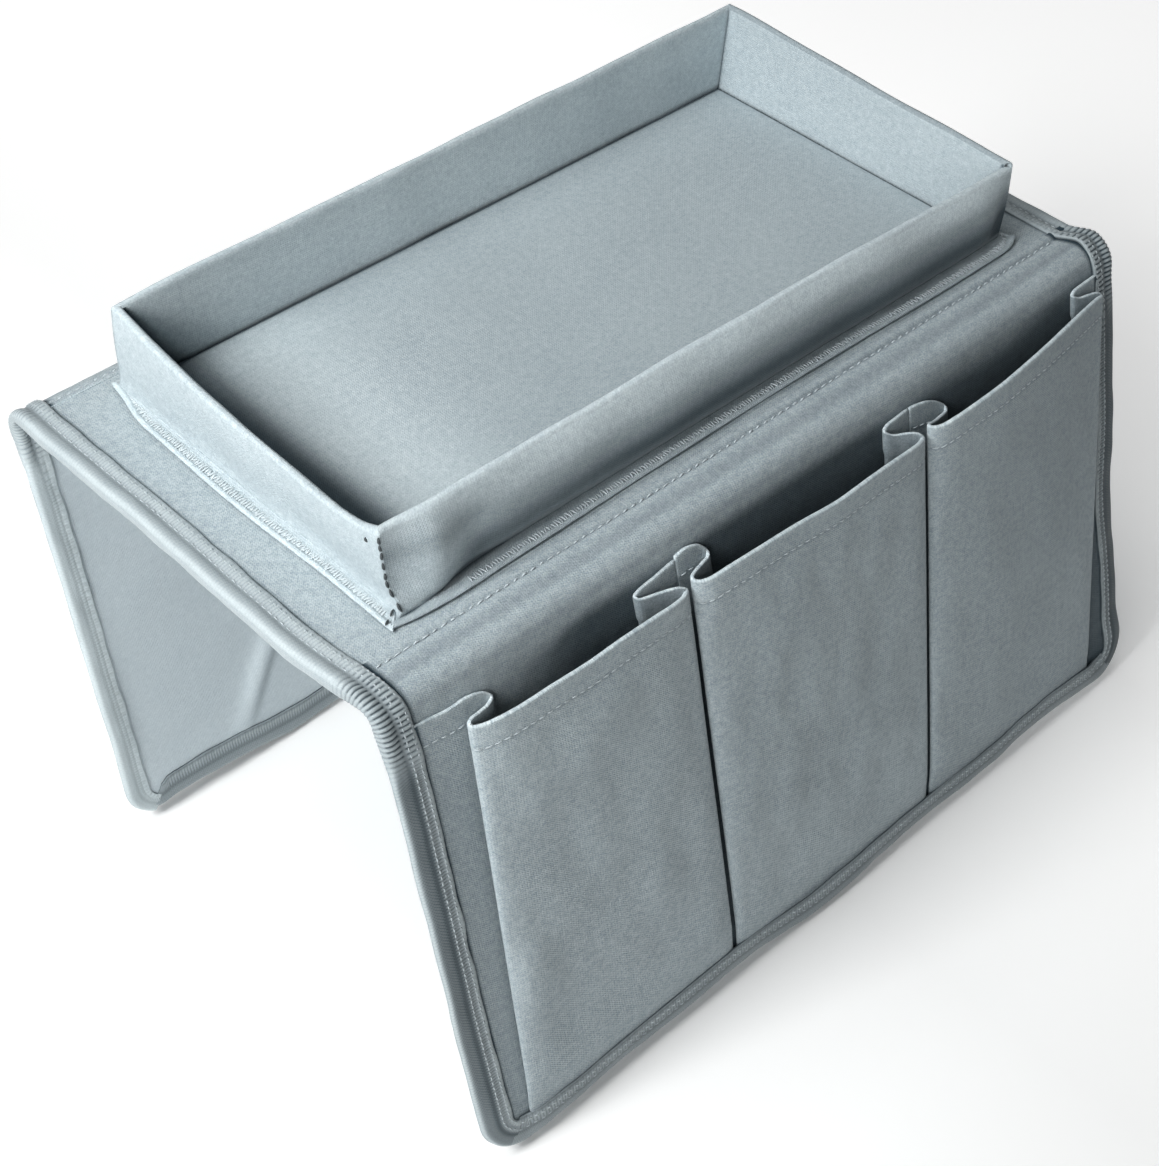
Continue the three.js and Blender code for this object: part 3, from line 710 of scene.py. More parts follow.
def flap_cloth(side):
    start_y = 72.8 if side.sign < 0 else 75.6
    s_start = -(side.corner - start_y)
    s = np.concatenate([np.linspace(s_start, side.t + 1, 64)[:-1], np.linspace(side.t + 1, side.bottom - 4.5, 100)])
    w = np.linspace(0, 1, 330)
    w = w + 0.06 * np.sin(2 * PI * w) / (2 * PI) * -1
    lo, hi = edge_left(side, s) + 3.5, edge_right(side, s) - 3.5
    pull = corner_pull(side, s, 3.5)
    xx = (lo + pull)[None] + (hi - lo - 2 * pull)[None] * w[:, None]
    ss = np.broadcast_to(s[None], xx.shape)
    # the turned edge lies on the top panel, proud at the right and pressed flat at the left
    from_edge = ss - s_start
    proud = 0.16 + 0.72 * smooth(xx, -60, 50) if side.sign < 0 else 0.35 + 0 * xx
    lift = proud * (1 - smooth(from_edge, 1.3, 2.9))
    seam = -(side.corner - 76.0) if side.sign < 0 else -(side.corner - 78.0)
    lift = lift - 0.22 * np.exp(-(((ss - seam) / 0.9) ** 2)) + 0.16 * np.exp(-(((ss - seam - 2.4) / 1.3) ** 2))
    puck = 0.10 * np.sin(2 * PI * xx / 3.3) * np.exp(-(((ss - seam) / 1.4) ** 2))
    soft = 0.13 * waves(xx, ss, 21 + side.sign, 48) * smooth(ss, seam + 2, seam + 14)
    fine = 0.05 * waves(xx, ss, 25 + side.sign, 12)
    roll = 0.40 * ridge_at(ss, 1.2, 3.4) - 0.40 * ridge_at(ss, -6.5, 3.2) if side.sign < 0 else 0.0
    h = lift + puck + soft + fine + roll - 0.4
    p = side.at(xx, ss, 0) + side.normal(ss) * h[..., None]
    if side.sign < 0:
        # the shade behind the mouths reaches higher and is softer towards the right, and fades at the left
        s_a = 8.5 + 4.5 * (1 - smooth(xx, -112, -85)) - 7.0 * smooth(xx, 95, 148)
        s_b = s_a + 6.5 + 5.0 * smooth(xx, 20, 120)
        amp = 0.30 + 0.57 * smooth(xx, -124, -84)
        k_m = np.clip((ss - s_a) / (s_b - s_a), 0, 1)
        dark = amp * k_m * k_m * (3 - 2 * k_m)
        s_hi = 0.5 + 2.2 * ridge_at(xx, 50, 50) - 2.2 * smooth(xx, 100, 150)
        # painted highlight along the roll's crest and the turned edge, painted shade in the valleys beside them
        dark = dark - 0.58 * ridge_at(ss, s_hi, 2.5) + 0.28 * ridge_at(ss, -5.5, 3.4) + 0.20 * ridge_at(ss, s_hi + 5.5, 2.6)
        dark = dark + 0.22 * ridge_at(from_edge, 2.2, 0.5) * (from_edge > 0.8) - 0.34 * np.exp(-((from_edge / 0.8) ** 2))
        dark = dark - 0.15 * ridge_at(ss, -12, 1.3) * (1 - smooth(xx, -40, 20))
        # the shadow in the gaps between the pockets
        for x_up, x_low in ((-51.6, -51.1), (52.6, 47.2)):
            x_gap = x_up + (x_low - x_up) * np.clip((ss - 15) / 140, 0, 1)
            dark = np.maximum(dark, 0.92 * ridge_at(xx, x_gap, 4.0) * smooth(ss, 12, 24))
    else:
        # painted shade behind the back pockets' mouths
        dark = 0.5 * smooth(ss, 9.0, 22.5) + 0.25 * ridge_at(from_edge, 2.2, 0.5)
    dark = dark + 0.25 * np.exp(-(((ss - seam) / 0.7) ** 2))
    dark = np.maximum(dark, tape_shadow(by_tape(side, xx, ss)))
    uv = np.stack([xx, ss], -1) * MM
    if side.sign < 0:
        p, dark, uv = p[::-1], dark[::-1], uv[::-1]
    o = cloth_sheet(f"{side.prefix}_outer_cloth", p, 0.4, 0.38, uv, CLOTH, dark=dark, dark_in=0.2, rim=0.35)
    over_fold(o, side)
    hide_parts(f"{side.prefix}_flap_cloth", f"{side.prefix}_fold_cloth")

    # topstitch
    x = np.linspace(END_L + 13, END_R - 12, 500)
    at = side.at(x, seam, 0) + side.normal(np.full_like(x, seam)) * (-0.05)
    parts = stitch_line(at, side.normal(np.full_like(x, seam)), 3.3, 2.0, 0.62, 0.46, seed=5, jitter=0.3)
    t = join_parts(f"{side.prefix}_topstitch", [parts], HEM_THREAD)
    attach(t, TOP_BODY)
    return o


# ------------------------------------------------------------------ binding tape


TAPE_FACE = [
    (11.0, -0.10), (11.1, 0.30), (10.9, 0.74), (10.4, 1.00), (9.6, 1.12), (8.7, 1.14), (7.8, 1.08), (7.1, 0.94),
    (6.5, 0.70), (6.0, 0.52), (5.5, 0.50), (5.0, 0.62), (4.4, 0.86), (3.7, 1.06), (3.0, 1.18), (2.4, 1.20), (1.9, 1.12),
    (1.4, 0.96), (1.0, 0.76), (0.6, 0.42), (0.25, -0.06), (0.06, -0.7), (0.0, -1.3),
]
TAPE_OUTER = TAPE_FACE + [(w, -3.6 - h) for w, h in TAPE_FACE[::-1]]
TAPE_INNER = [(8.0, -3.5), (4.5, -3.5), (2.0, -3.2), (1.1, -1.8), (2.0, -0.4), (4.5, 0.05), (8.0, 0.05)]
PITCH = 1.75
STEP = PITCH / 8


def tape_section():
    """The bound edge as (w, h) points, w in from the edge and h out from the cloth's outer face:
    the stitched selvedge, a groove, the soft fold, and the same layer again below."""
    return np.array(TAPE_OUTER + TAPE_INNER, float), None, len(TAPE_OUTER)


def tape_piece(name, side_of, path_x, path_s, inward, mat, rib_dir, raise_at=None, start_l=0.0, wscale=None, rib_gain=None, uvshift=0.0, shade_more=None, low_scale=1.0, thin=None, pitch_at=None):
    """Sweeps the tape's section along an edge given in a side's (x, s) coordinates.
    inward is the unit direction in (x, s) from the edge into the cloth, at each path point."""
    pts, _, n_out = tape_section()
    w, h = pts[:, 0], pts[:, 1]
    n = len(path_x)
    d = np.arange(n) * STEP + start_l
    ww = np.broadcast_to(w[None], (n, len(w))).copy()
    if wscale is not None:
        ww = ww * wscale[:, None]
    ww = np.where((h < -2.4)[None], ww * (1 + (low_scale - 1) * smooth(w, 1.5, 5))[None], ww)
    hh = np.broadcast_to(h[None], (n, len(w))).copy()
    top = ((h > -0.6) | (h < -3.0)) & (np.arange(len(w)) < n_out)
    if thin is not None:
        # on a flap the tape is pressed flat, and its edge is thin on the side that shows
        flat_h = np.interp(w, [0.25, 0.6, 1.0, 1.4, 2.0, 6.0, 7.2, 8.3, 9.5, 10.4, 10.6], [-0.02, 0.26, 0.50, 0.62, 0.68, 0.70, 0.86, 0.52, 0.86, 0.70, 0.70])
        outer_pts = np.arange(len(w)) < n_out
        mid = (w > 0.2) & (w < 10.5)
        if side_of.sign < 0:
            goal = np.where(outer_pts & (h > -0.6) & mid, flat_h, h)
            goal = np.where((h < -0.7) & outer_pts, np.maximum(h, -0.75 - 0.95 * w), goal)
            goal = np.where((h < -0.7) & ~outer_pts, np.maximum(h, -0.25 - 0.95 * w), goal)
        else:
            goal = np.where(outer_pts & (h < -3.0) & mid, -3.6 - flat_h, h)
            goal = np.where((h > -2.9) & outer_pts, np.minimum(h, -2.85 + 0.95 * w), goal)
            goal = np.where((h > -2.9) & ~outer_pts, np.minimum(h, -3.35 + 0.95 * w), goal)
        hh = hh + thin[:, None] * (goal - h)[None]
    if raise_at is not None:
        hh = hh + raise_at[:, None] * np.clip(w[None] / 8.0, 0, 1) ** 0.8 * (h[None] > -0.6)
    slope = rib_dir if np.ndim(rib_dir) else np.full(n, float(rib_dir))
    gain = np.zeros(n) if rib_gain is None else rib_gain
    # ribs run across the tape: round backs with narrow slots between them
    pitch = np.full(n, 1.15) if pitch_at is None else pitch_at
    turns = np.concatenate([[0.0], np.cumsum(STEP / pitch[1:])])
    phase = PI * (turns[:, None] + slope[:, None] * np.clip(w[None] - 0.6, 0.0, 5.4) / pitch[:, None])
    slot = (1 - np.abs(np.sin(phase))) ** 1.7
    slot = slot + (np.clip(1.35 - 1.65 * np.abs(np.sin(phase)), 0, 1) - slot) * gain[:, None]
    band = np.where((w > 0.5) & (w < 5.3), 1.0, 0.0) + np.where((w > 6.3) & (w < 10.2), 0.9, 0.0) + np.where((w >= 5.3) & (w <= 6.3), 0.15, 0.0)
    band = np.where(w <= 0.5, 0.45, band) * (np.arange(len(w)) < n_out)
    depth = (0.03 + 0.34 * gain)[:, None] + (0.09 * (1 - gain))[:, None] * ((w > 6.3) & (w < 10.2))[None]
    off = -depth * slot * band[None]
    # the selvedge is lumpy, a bump to each stitch, and the fold isn't ruled
    off = off + 0.11 * np.sin(2 * PI * d[:, None] / 2.9) * np.exp(-(((w[None] - 9.9) / 0.8) ** 2)) * top[None]
    off = off + 0.09 * waves(d[:, None], w[None] + uvshift, 77, 14) * top[None]
    sway = 0.09 * waves(d, d * 0 + uvshift, 79, 40) + 0.03 * waves(d, d * 0 + uvshift, 80, 9)
    nx = np.roll(pts, -1, 0) - np.roll(pts, 1, 0)
    nrm = np.stack([nx[:, 1], -nx[:, 0]], 1)
    nrm /= np.maximum(np.linalg.norm(nrm, axis=1, keepdims=True), 1e-9)
    if 0.5 * np.sum(pts[:, 0] * np.roll(pts[:, 1], -1) - np.roll(pts[:, 0], -1) * pts[:, 1]) < 0:
        nrm = -nrm
    ww = ww + nrm[None, :, 0] * off + sway[:, None] * np.clip(1 - w[None] / 14, 0, 1) + 0.12 * waves(d, d * 0 + uvshift, 83, 12)[:, None] * smooth(w, 8.5, 11)[None]
    hh = hh + nrm[None, :, 1] * off
    xs = path_x[:, None] + inward[:, 0:1] * ww
    ss = path_s[:, None] + inward[:, 1:2] * ww
    p = side_of.at(xs, ss, hh)
    arc = np.concatenate([[0], np.cumsum(np.hypot(np.diff(w), np.diff(h)))])
    uv = np.stack([np.broadcast_to(d[:, None], p.shape[:2]), np.broadcast_to(arc[None], p.shape[:2])], -1) * MM
    # painted shade in the slots between the ribs, in the groove and along the inner edge, and painted highlight on the
    # fold and the selvedge
    dark = (0.10 + 0.95 * gain)[:, None] * slot * band[None] + (0.22 * (1 - gain))[:, None] * slot * ((w > 6.3) & (w < 10.2))[None] * top[None]
    dark = dark + 0.38 * ridge_at(w, 5.6, 1.0)[None] * top[None]
    dark = dark - (0.26 * ridge_at(w, 0.9, 0.9)[None] + 0.14 * ridge_at(w, 8.2, 1.4)[None]) * top[None] * (1 - 0.8 * gain[:, None])
    dark = dark + 0.7 * (w[None] > 10.95) * top[None] - 0.08 * ridge_at(w, 9.9, 0.7)[None] * top[None] * np.sin(2 * PI * d[:, None] / 2.9)
    if shade_more is not None:
        dark = dark + shade_more(w[None], h[None], path_s[:, None])
    return p, uv, d, np.clip(dark, -0.6, 0.95)


def tape_mesh(name, p, uv, mat, flip, dark):
    pts, _, _ = tape_section()
    caps = tessellate_polygon([[Vector((float(a), float(b), 0.0)) for a, b in pts]])
    caps = np.array(caps, np.int64)
    a, b, c = (pts[caps[:, k]] for k in range(3))
    turn = (b[:, 0] - a[:, 0]) * (c[:, 1] - a[:, 1]) - (b[:, 1] - a[:, 1]) * (c[:, 0] - a[:, 0])
    caps = np.where(turn[:, None] < 0, caps[:, ::-1], caps)
    n, m = p.shape[:2]
    area = np.sum(pts[:, 0] * np.roll(pts[:, 1], -1) - np.roll(pts[:, 0], -1) * pts[:, 1])
    if area < 0:
        caps = caps[:, ::-1]
    if flip:
        p, uv, dark = p[:, ::-1], uv[:, ::-1], dark[:, ::-1]
        caps = m - 1 - caps[:, ::-1]
    idx = np.arange(n * m).reshape(n, m)
    nxt = np.roll(idx, -1, axis=1)
    q = np.stack([idx[:-1], nxt[:-1], nxt[1:], idx[1:]], -1).reshape(-1, 4)
    tris = np.concatenate([caps[:, ::-1], caps + (n - 1) * m])
    return make(name, p.reshape(-1, 3), q, mat, uv.reshape(-1, 2), tris, dark=dark)


def tape_stitches(side, path_x, path_s, inward, w_at, h_at, pitch=2.8, length=1.9, seed=9, raise_at=None, **kw):
    xs = path_x + inward[:, 0] * w_at
    ss = path_s + inward[:, 1] * w_at
    up = h_at + (0 if raise_at is None else raise_at * min(1, w_at / 8.0) ** 0.8)
    pts = side.at(xs, ss, up)
    return stitch_line(pts, side.normal(ss), pitch, length, 0.55, 0.36, seed=seed, **kw)


def side_tape(side, left):
    """From the middle of the fold's start, over the fold, down the flap's side and round into the lower corner."""
    edge = edge_left if left else edge_right
    sg = -1 if left else 1
    s_start = -17.0
    r = 16.0
    s_line = np.arange(s_start, side.bottom - r, STEP)
    x_line = edge(side, s_line)
    # round the corner
    cx, cs = x_line[-1] - sg * r, s_line[-1]
    ang = np.arange(0, math.radians(64), STEP / r)[1:]
    ax = cx + sg * r * np.cos(ang)
    as_ = cs + r * np.sin(ang)
    px, ps = np.concatenate([x_line, ax]), np.concatenate([s_line, as_])
    inward = np.stack([np.concatenate([np.full(len(s_line), -sg), -sg * np.cos(ang)]), np.concatenate([np.zeros(len(s_line)), -np.sin(ang)])], 1)
    raise_at = 0.75 * smooth(ps, 8, 22)
    name = f"{side.prefix}_side_tape_{'left' if left else 'right'}"
    slope = np.where(ps < 22, 0.0, 0.0) + 0.9 * smooth(ps, 20, 34) * (1 if side.sign < 0 else -1) * (1 if left else -1)
    gain = 0.02 + 0.95 * smooth(ps, -17, -8) * (1 - smooth(ps, 14, 25)) + (0.30 if side.sign < 0 else 0.06) * smooth(ps, 20, 30) * (1 - smooth(ps, side.bottom - 30, side.bottom - 14))
    if side.sign > 0:
        gain = gain * 0.45
    squeeze = (0.91 + 0.07 * smooth(ps, -8, 12)) * (1 - 0.10 * smooth(ps, side.bottom - r, side.bottom))

    def more(w, h, s):
        # painted shade on the hanging tape, painted highlight lines at its edges, and painted light on the back flap's
        # lower layer
        upper = h > -1.3
        hangs = smooth(s, 14, 30)
        if side.sign < 0:
            tone = 0.50 * smooth(w, 0.4, 1.3) * (1 - smooth(w, 6.2, 7.0)) + 0.42 * ridge_at(w, 8.3, 0.8) - 0.30 * ridge_at(w, 9.6, 0.6) - 0.16 * ridge_at(w, 0.4, 0.5)
            side_edge = 0.36 * smooth(-h, 0.4, 1.3) * (h > -3.3) * (w < 2.5)
            return np.where(upper, tone * (1.0 if left else 1.15), side_edge) * hangs + (0.0 if left else 0.18 * smooth(s, -6, 10))
        return np.where(~upper, -0.36, 0.0) * hangs

    p, uv, d, dark = tape_piece(name, side, px, ps, inward, TAPE, slope, raise_at=raise_at, rib_gain=np.clip(gain, 0, 1), wscale=squeeze, uvshift=13.0 * sg + 5 * side.sign, shade_more=more, low_scale=1.0 if side.sign < 0 else 0.80, thin=smooth(ps, 10, 28), pitch_at=1.75 - 0.6 * smooth(ps, 18, 32))
    flip = (sg * side.sign) > 0
    o = tape_mesh(name, p, uv, TAPE, flip, dark)
    over_fold(o, side)
    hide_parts(f"{side.prefix}_tape_{'left' if left else 'right'}")
    st = [
        tape_stitches(side, px, ps, inward, 7.0, 0.82, pitch=2.2, length=1.4, seed=14 + sg, raise_at=raise_at),
        tape_stitches(side, px, ps, inward, 9.4, 0.84, pitch=2.0, length=1.3, seed=16 + sg, raise_at=raise_at),
    ]
    t = join_parts(f"{name}_stitches", st, TAPE_THREAD)
    over_fold(t, side)
    return o


def bottom_tape(side):
    r = 16.0
    xl = float(edge_left(side, side.bottom - r))
    xr = float(edge_right(side, side.bottom - r))
    a0 = math.radians(58)
    angl = np.arange(a0, PI / 2, STEP / r)
    lx, ls = xl + r - r * np.cos(angl), side.bottom - r + r * np.sin(angl)
    mx = np.arange(xl + r + STEP, xr - r, STEP)
    angr = angl[::-1]
    rx, rs = xr - r + r * np.cos(angr), side.bottom - r + r * np.sin(angr)
    px = np.concatenate([lx, mx, rx])
    ps = np.concatenate([ls, np.full(len(mx), side.bottom), rs])
    inx = np.concatenate([np.cos(angl), np.zeros(len(mx)), -np.cos(angr)])
    ins = np.concatenate([-np.sin(angl), -np.ones(len(mx)), -np.sin(angr)])
    inward = np.stack([inx, ins], 1)
    wav = 0.55 * waves(px, px * 0, 51 + side.sign, 60)
    if side.sign > 0:   # the back flap's lower edge climbs towards the left corner
        wav = wav - 4.6 * (1 - smooth(px, -150, -78))
    else:
        wav = wav - curve(px, [-150, -120, -80, -40, 0, 40, 80, 120, 150], [0.4, 1.0, 1.9, 1.0, -0.4, 0.4, 1.3, 2.2, 1.0]) + 0.5
    ps = ps + wav * smooth(np.minimum(px - xl, xr - px), 2, 20)
    raise_at = 0.75 + 1.45 * smooth(np.minimum(px + 146, 146 - px), 0, 8)
    name = f"{side.prefix}_bottom_tape"
    # painted shade over the bottom tape, with a painted shadow line at its inner edge and a painted highlight beside it
    p, uv, d, dark = tape_piece(name, side, px, ps, inward, TAPE, 0.9, raise_at=raise_at, rib_gain=np.full(len(px), 0.25), thin=np.full(len(px), 0.8), uvshift=31.0 + side.sign, shade_more=lambda w, h, s: 0.18 + 0.40 * ridge_at(w, 10.4, 0.4) - 0.25 * ridge_at(w, 9.2, 0.5))
    o = tape_mesh(name, p, uv, TAPE, side.sign < 0, dark)
    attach(o, side.body)
    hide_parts(f"{side.prefix}_tape_bottom")
    st = [tape_stitches(side, px, ps, inward, 6.3, 0.64, seed=33, raise_at=raise_at), tape_stitches(side, px, ps, inward, 9.2, 1.08, pitch=2.4, length=1.5, seed=35, raise_at=raise_at)]
    t = join_parts(f"{name}_stitches", st, TAPE_THREAD)
    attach(t, side.body)
    return o


class Flat:
    """The top's plane, in the same (x, s, h) coordinates with s along Y."""

    sign = -1

    def at(self, x, s, h=0.0):
        x, s, h = np.broadcast_arrays(np.asarray(x, float), np.asarray(s, float), np.asarray(h, float))
        return np.stack([x, s, TOP_Z + h], -1)

    def normal(self, s):
        s = np.asarray(s, float)
        return np.stack([np.zeros_like(s), np.zeros_like(s), np.ones_like(s)], -1)


TOP = Flat()


def end_tape(left):
    sg = -1 if left else 1
    y0, y1 = -(FRONT.corner - 15.0), BACK.corner - 15.6
    n = int((y1 - y0) / STEP) + 1
    y = np.linspace(y0, y1, n)
    edge = edge_left if left else edge_right
    front_x = edge(FRONT, -(FRONT.corner + y))      # s = -(corner - |y|)
    back_x = edge(BACK, y - BACK.corner)
    k = smooth(y, 0, 60)
    x = front_x * (1 - k) + back_x * k
    inward = np.stack([np.full(n, -sg), np.zeros(n)], 1)
    name = f"{'left' if left else 'right'}_end_tape_cloth"
    gain = 0.03 + 0 * y
    p, uv, d, dark = tape_piece(name, TOP, x, y, inward, TAPE, 0.0, rib_gain=gain, uvshift=13.0 * sg, wscale=np.full(n, 0.91))
    o = tape_mesh(name, p, uv, TAPE, sg < 0, dark)
    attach(o, TOP_BODY)
    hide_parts(f"{'left' if left else 'right'}_end_tape")
    t = join_parts(f"{name}_stitches", [tape_stitches(TOP, x, y, inward, 5.6, 0.56, seed=21 + sg), tape_stitches(TOP, x, y, inward, 8.2, 1.08, pitch=2.3, length=1.4, seed=23 + sg)], TAPE_THREAD)
    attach(t, TOP_BODY)
    return o


# ------------------------------------------------------------------ tray

TRAY_Y, TRAY_HX, TRAY_HY, TRAY_H = 3.0, 131.5, 66.0, 31.0
FLARE_X, FLARE_Y = 2.4, -0.8
WALL_T = 4.4
FOOT_Z, RIM_Z = 5.0, TOP_Z + 31.0


def wall_half(z, axis):
    t = (z - TOP_Z) / TRAY_H
    return (TRAY_HX + FLARE_X * t) if axis == "x" else (TRAY_HY + FLARE_Y * t)


FLANGE_Z = TOP_Z + 0.75
T_RIM = {"front": 2.3, "left": 2.0, "back": 2.0, "right": 1.8}


def flange_width(name, c):
    """The turned-out flange: widest in the middle of the left wall, and narrow at the back left corner and along the right."""
    if name == "left":
        return curve(c, [-1.0, -0.74, -0.54, -0.35, -0.15, 0.07, 0.32, 0.5, 0.68, 0.87, 1.0], [6.6, 6.6, 6.6, 7.1, 7.6, 7.7, 7.2, 6.9, 6.3, 3.7, 2.4])
    if name == "front":
        return curve(c, [-1.0, -0.93, -0.84, -0.68, -0.38, 0.0, 0.23, 0.46, 0.69, 0.84, 0.95, 1.0], [5.6, 7.0, 7.8, 7.4, 6.7, 6.1, 6.1, 6.6, 7.2, 7.2, 6.4, 4.2])
    if name == "right":
        return 2.2 + 1.6 * (1 - smooth(c, -1.0, -0.9)) + 0 * c
    return 3.6 - 1.2 * smooth(-c, 0.9, 1.0)


def rim_height(name, c):
    """Height of the rim's top along a wall. The cloth walls have settled unevenly."""
    table = {
        "left": ([-1, -0.95, -0.88, -0.76, -0.61, -0.45, -0.3, -0.15, 0, 0.15, 0.3, 0.45, 0.61, 0.76, 0.88, 1], [34.0, 32.4, 30.3, 28.6, 28.4, 28.6, 29.0, 29.6, 30.1, 31.0, 31.7, 32.5, 33.3, 33.9, 34.5, 35.3]),
        "back": ([-1, -0.94, -0.5, 0, 0.5, 1], [35.3, 35.8, 36.0, 36.2, 36.4, 36.9]),
        "right": ([-1, -0.91, -0.76, -0.45, 0, 0.45, 0.76, 1], [33.0, 33.1, 33.5, 34.0, 35.0, 36.1, 36.9, 37.1]),
        "front": ([-1, -0.84, 0, 0.3, 0.46, 0.69, 0.91, 1], [34.0, 34.0, 33.9, 33.6, 33.1, 31.9, 31.1, 31.0]),
    }[name]
    return curve(c, *table)


def left_foot(z):
    """How far the left wall's foot flares out over its flange."""
    return 1.7 * np.exp(-np.maximum(z - FLANGE_Z, 0) / 2.2)


def corner_foot(x_from, z):
    """How far the front wall's foot stands out over its flange, near the left corner."""
    return curve(x_from, [0, 10.5, 20.5, 31], [3.6, 3.3, 1.1, 0.0]) * np.exp(-((np.maximum(z - FLANGE_Z, 0) / 6.5) ** 2))


def settle(p):
    """The near left corner leans to the left, and the far left one stands in a little."""
    p = p.copy()
    z = np.clip((p[..., 2] - FOOT_Z) / (RIM_Z - FOOT_Z), 0, 1)
    d = np.hypot(p[..., 0] + TRAY_HX, p[..., 1] - (TRAY_Y - TRAY_HY))
    k = 1.2 * np.exp(-((d / 10.0) ** 2)) * smooth(p[..., 2], 7.5, 14.0) * 0.707
    p[..., 0] -= k
    p[..., 1] += k
    d = np.hypot((p[..., 0] + TRAY_HX) / 1.6, p[..., 1] - (TRAY_Y + TRAY_HY))
    p[..., 0] += 2.5 * np.exp(-((d / 26.0) ** 2)) * z
    return p


def tray_wall(name):
    """One wall's cover and flange: from the flange's edge in to the foot, up the outside, over the rim and down the inside."""
    stiffener(name)
    long_wall = name in ("front", "back")
    sg = -1 if name in ("left", "front") else 1
    n_len = 320 if long_wall else 180
    n_fl, n_bend, n_out, n_in = 17, 3, 30, 24
    f = np.linspace(1, 0.13, n_fl)
    bend_d = np.array([-0.30, -0.10, 0.0])
    bend_z = np.array([FLANGE_Z + 0.10, FLANGE_Z + 0.45, FLANGE_Z + 1.0])
    z_out = np.linspace(FLANGE_Z + 1.8, RIM_Z - 1.7, n_out)
    th = np.linspace(PI, 0, 15)[1:-1]
    hw = T_RIM[name] / 2
    z_in = np.linspace(RIM_Z - 1.7, FOOT_Z + 0.2, n_in)
    depth = np.concatenate([np.full(n_fl, 0.0), bend_d, np.zeros(n_out), hw + hw * np.cos(th), np.full(n_in, 2 * hw)]) + 0.4
    z = np.concatenate([np.full(n_fl, FLANGE_Z), bend_z, z_out, RIM_Z - 1.7 + 1.3 * np.sin(th), z_in])
    which = np.concatenate([np.zeros(n_fl + n_bend + n_out), np.linspace(0, 1, 13), np.ones(n_in)])   # 0 outside, 1 inside
    c = np.linspace(-1, 1, n_len)
    c = np.sign(c) * (1 - (1 - np.abs(c)) ** 1.2)
    cc, dd = np.meshgrid(c, depth, indexing="ij")
    zz = np.broadcast_to(z[None], cc.shape).copy()
    wh = np.broadcast_to(which[None], cc.shape)
    col = np.arange(len(depth))[None]
    on_fl = (col < n_fl) & np.ones(cc.shape, bool)
    is_in = (col >= len(depth) - n_in) & np.ones(cc.shape, bool)
    wall_out = (col >= n_fl) & (col < n_fl + n_bend + n_out)
    width = flange_width(name, c)
    dd = dd.copy()
    dd[:, :n_fl] = 0.4 - width[:, None] * f[None]
    hh = np.clip((zz - FOOT_Z) / (RIM_Z - FOOT_Z), 0, 1)
    # the two layers are close at the rim and further apart at the foot
    dd = dd + is_in * (3.6 - 2 * hw) * (1 - hh) ** 1.3
    hx, hy = wall_half(np.maximum(zz, FOOT_Z), "x"), wall_half(np.maximum(zz, FOOT_Z), "y")
    end = 1 - np.abs(cc)
    if long_wall:
        half_run, half_across = hx, hy
    else:
        half_run, half_across = hy, hx
    length = TRAY_HX if long_wall else TRAY_HY
    tip = (1 - smooth((1 - np.abs(cc)) * length, 0, 14))
    near = np.where(cc < 0, 0.25, 0.35)
    bow = near * np.sin(PI * hh) * (1 - wh) * tip
    outer_cols = (col >= n_fl) * (1 - wh)
    x_from = (cc + 1) * TRAY_HX
    extra = np.zeros_like(zz)
    if name == "front":
        extra = outer_cols * left_foot(zz) * (cc < 0)
    elif name == "left":
        extra = outer_cols * corner_foot(0.0, zz) * (cc < 0)
    run = cc * (half_run - dd + bow + extra * smooth(-cc, 0.55, 1.0))
    # cloth stands a little off the board: a barrel on the outside, tight at the corners
    held = smooth(end * length, 0, 16)
    outside = 1 - wh
    if name == "front":
        # a full lower half, then a broad round shoulder in to the rim
        off = curve(hh, [0, 0.06, 0.14, 0.25, 0.38, 0.5, 0.62, 0.7, 0.78, 0.86, 0.92, 0.96, 1.0], [0.3, 1.3, 2.3, 3.0, 3.3, 3.1, 2.75, 2.45, 1.95, 1.25, 0.55, 0.0, -0.3])
        out = outside * held * off * (col >= n_fl) + bow
        out = out + outer_cols * corner_foot(x_from, zz)
        out = out + outer_cols * (1.6 * ridge_at(x_from, 14, 8) * ridge_at(hh, 0.5, 0.45) - 1.2 * ridge_at(x_from, 27, 7) * ridge_at(hh, 0.42, 0.26)) * held
    else:
        belly = {"back": 1.4, "left": 0.5, "right": 0.7}[name]
        out = outside * held * belly * np.sin(PI * hh**0.85) ** 0.8 + bow
        if name == "left":
            out = out + outer_cols * left_foot(zz)
    out = out + outer_cols * held * 0.22 * smooth(hh, 0, 0.2) * waves(run, zz, 61 + len(name), 36)
    inside_wave = wh * held * 0.14 * waves(run, zz, 71 + len(name), 40)
    # each wall's rim has its own height
    top = rim_height(name, cc)
    zz = np.where(zz > FOOT_Z, FOOT_Z + (zz - FOOT_Z) * (top - FOOT_Z) / (RIM_Z - FOOT_Z), zz)
    zz = zz + smooth(hh, 0.6, 1.0) * 0.12 * waves(run, run * 0, 81 + len(name), 40) * smooth(end, 0, 0.08)
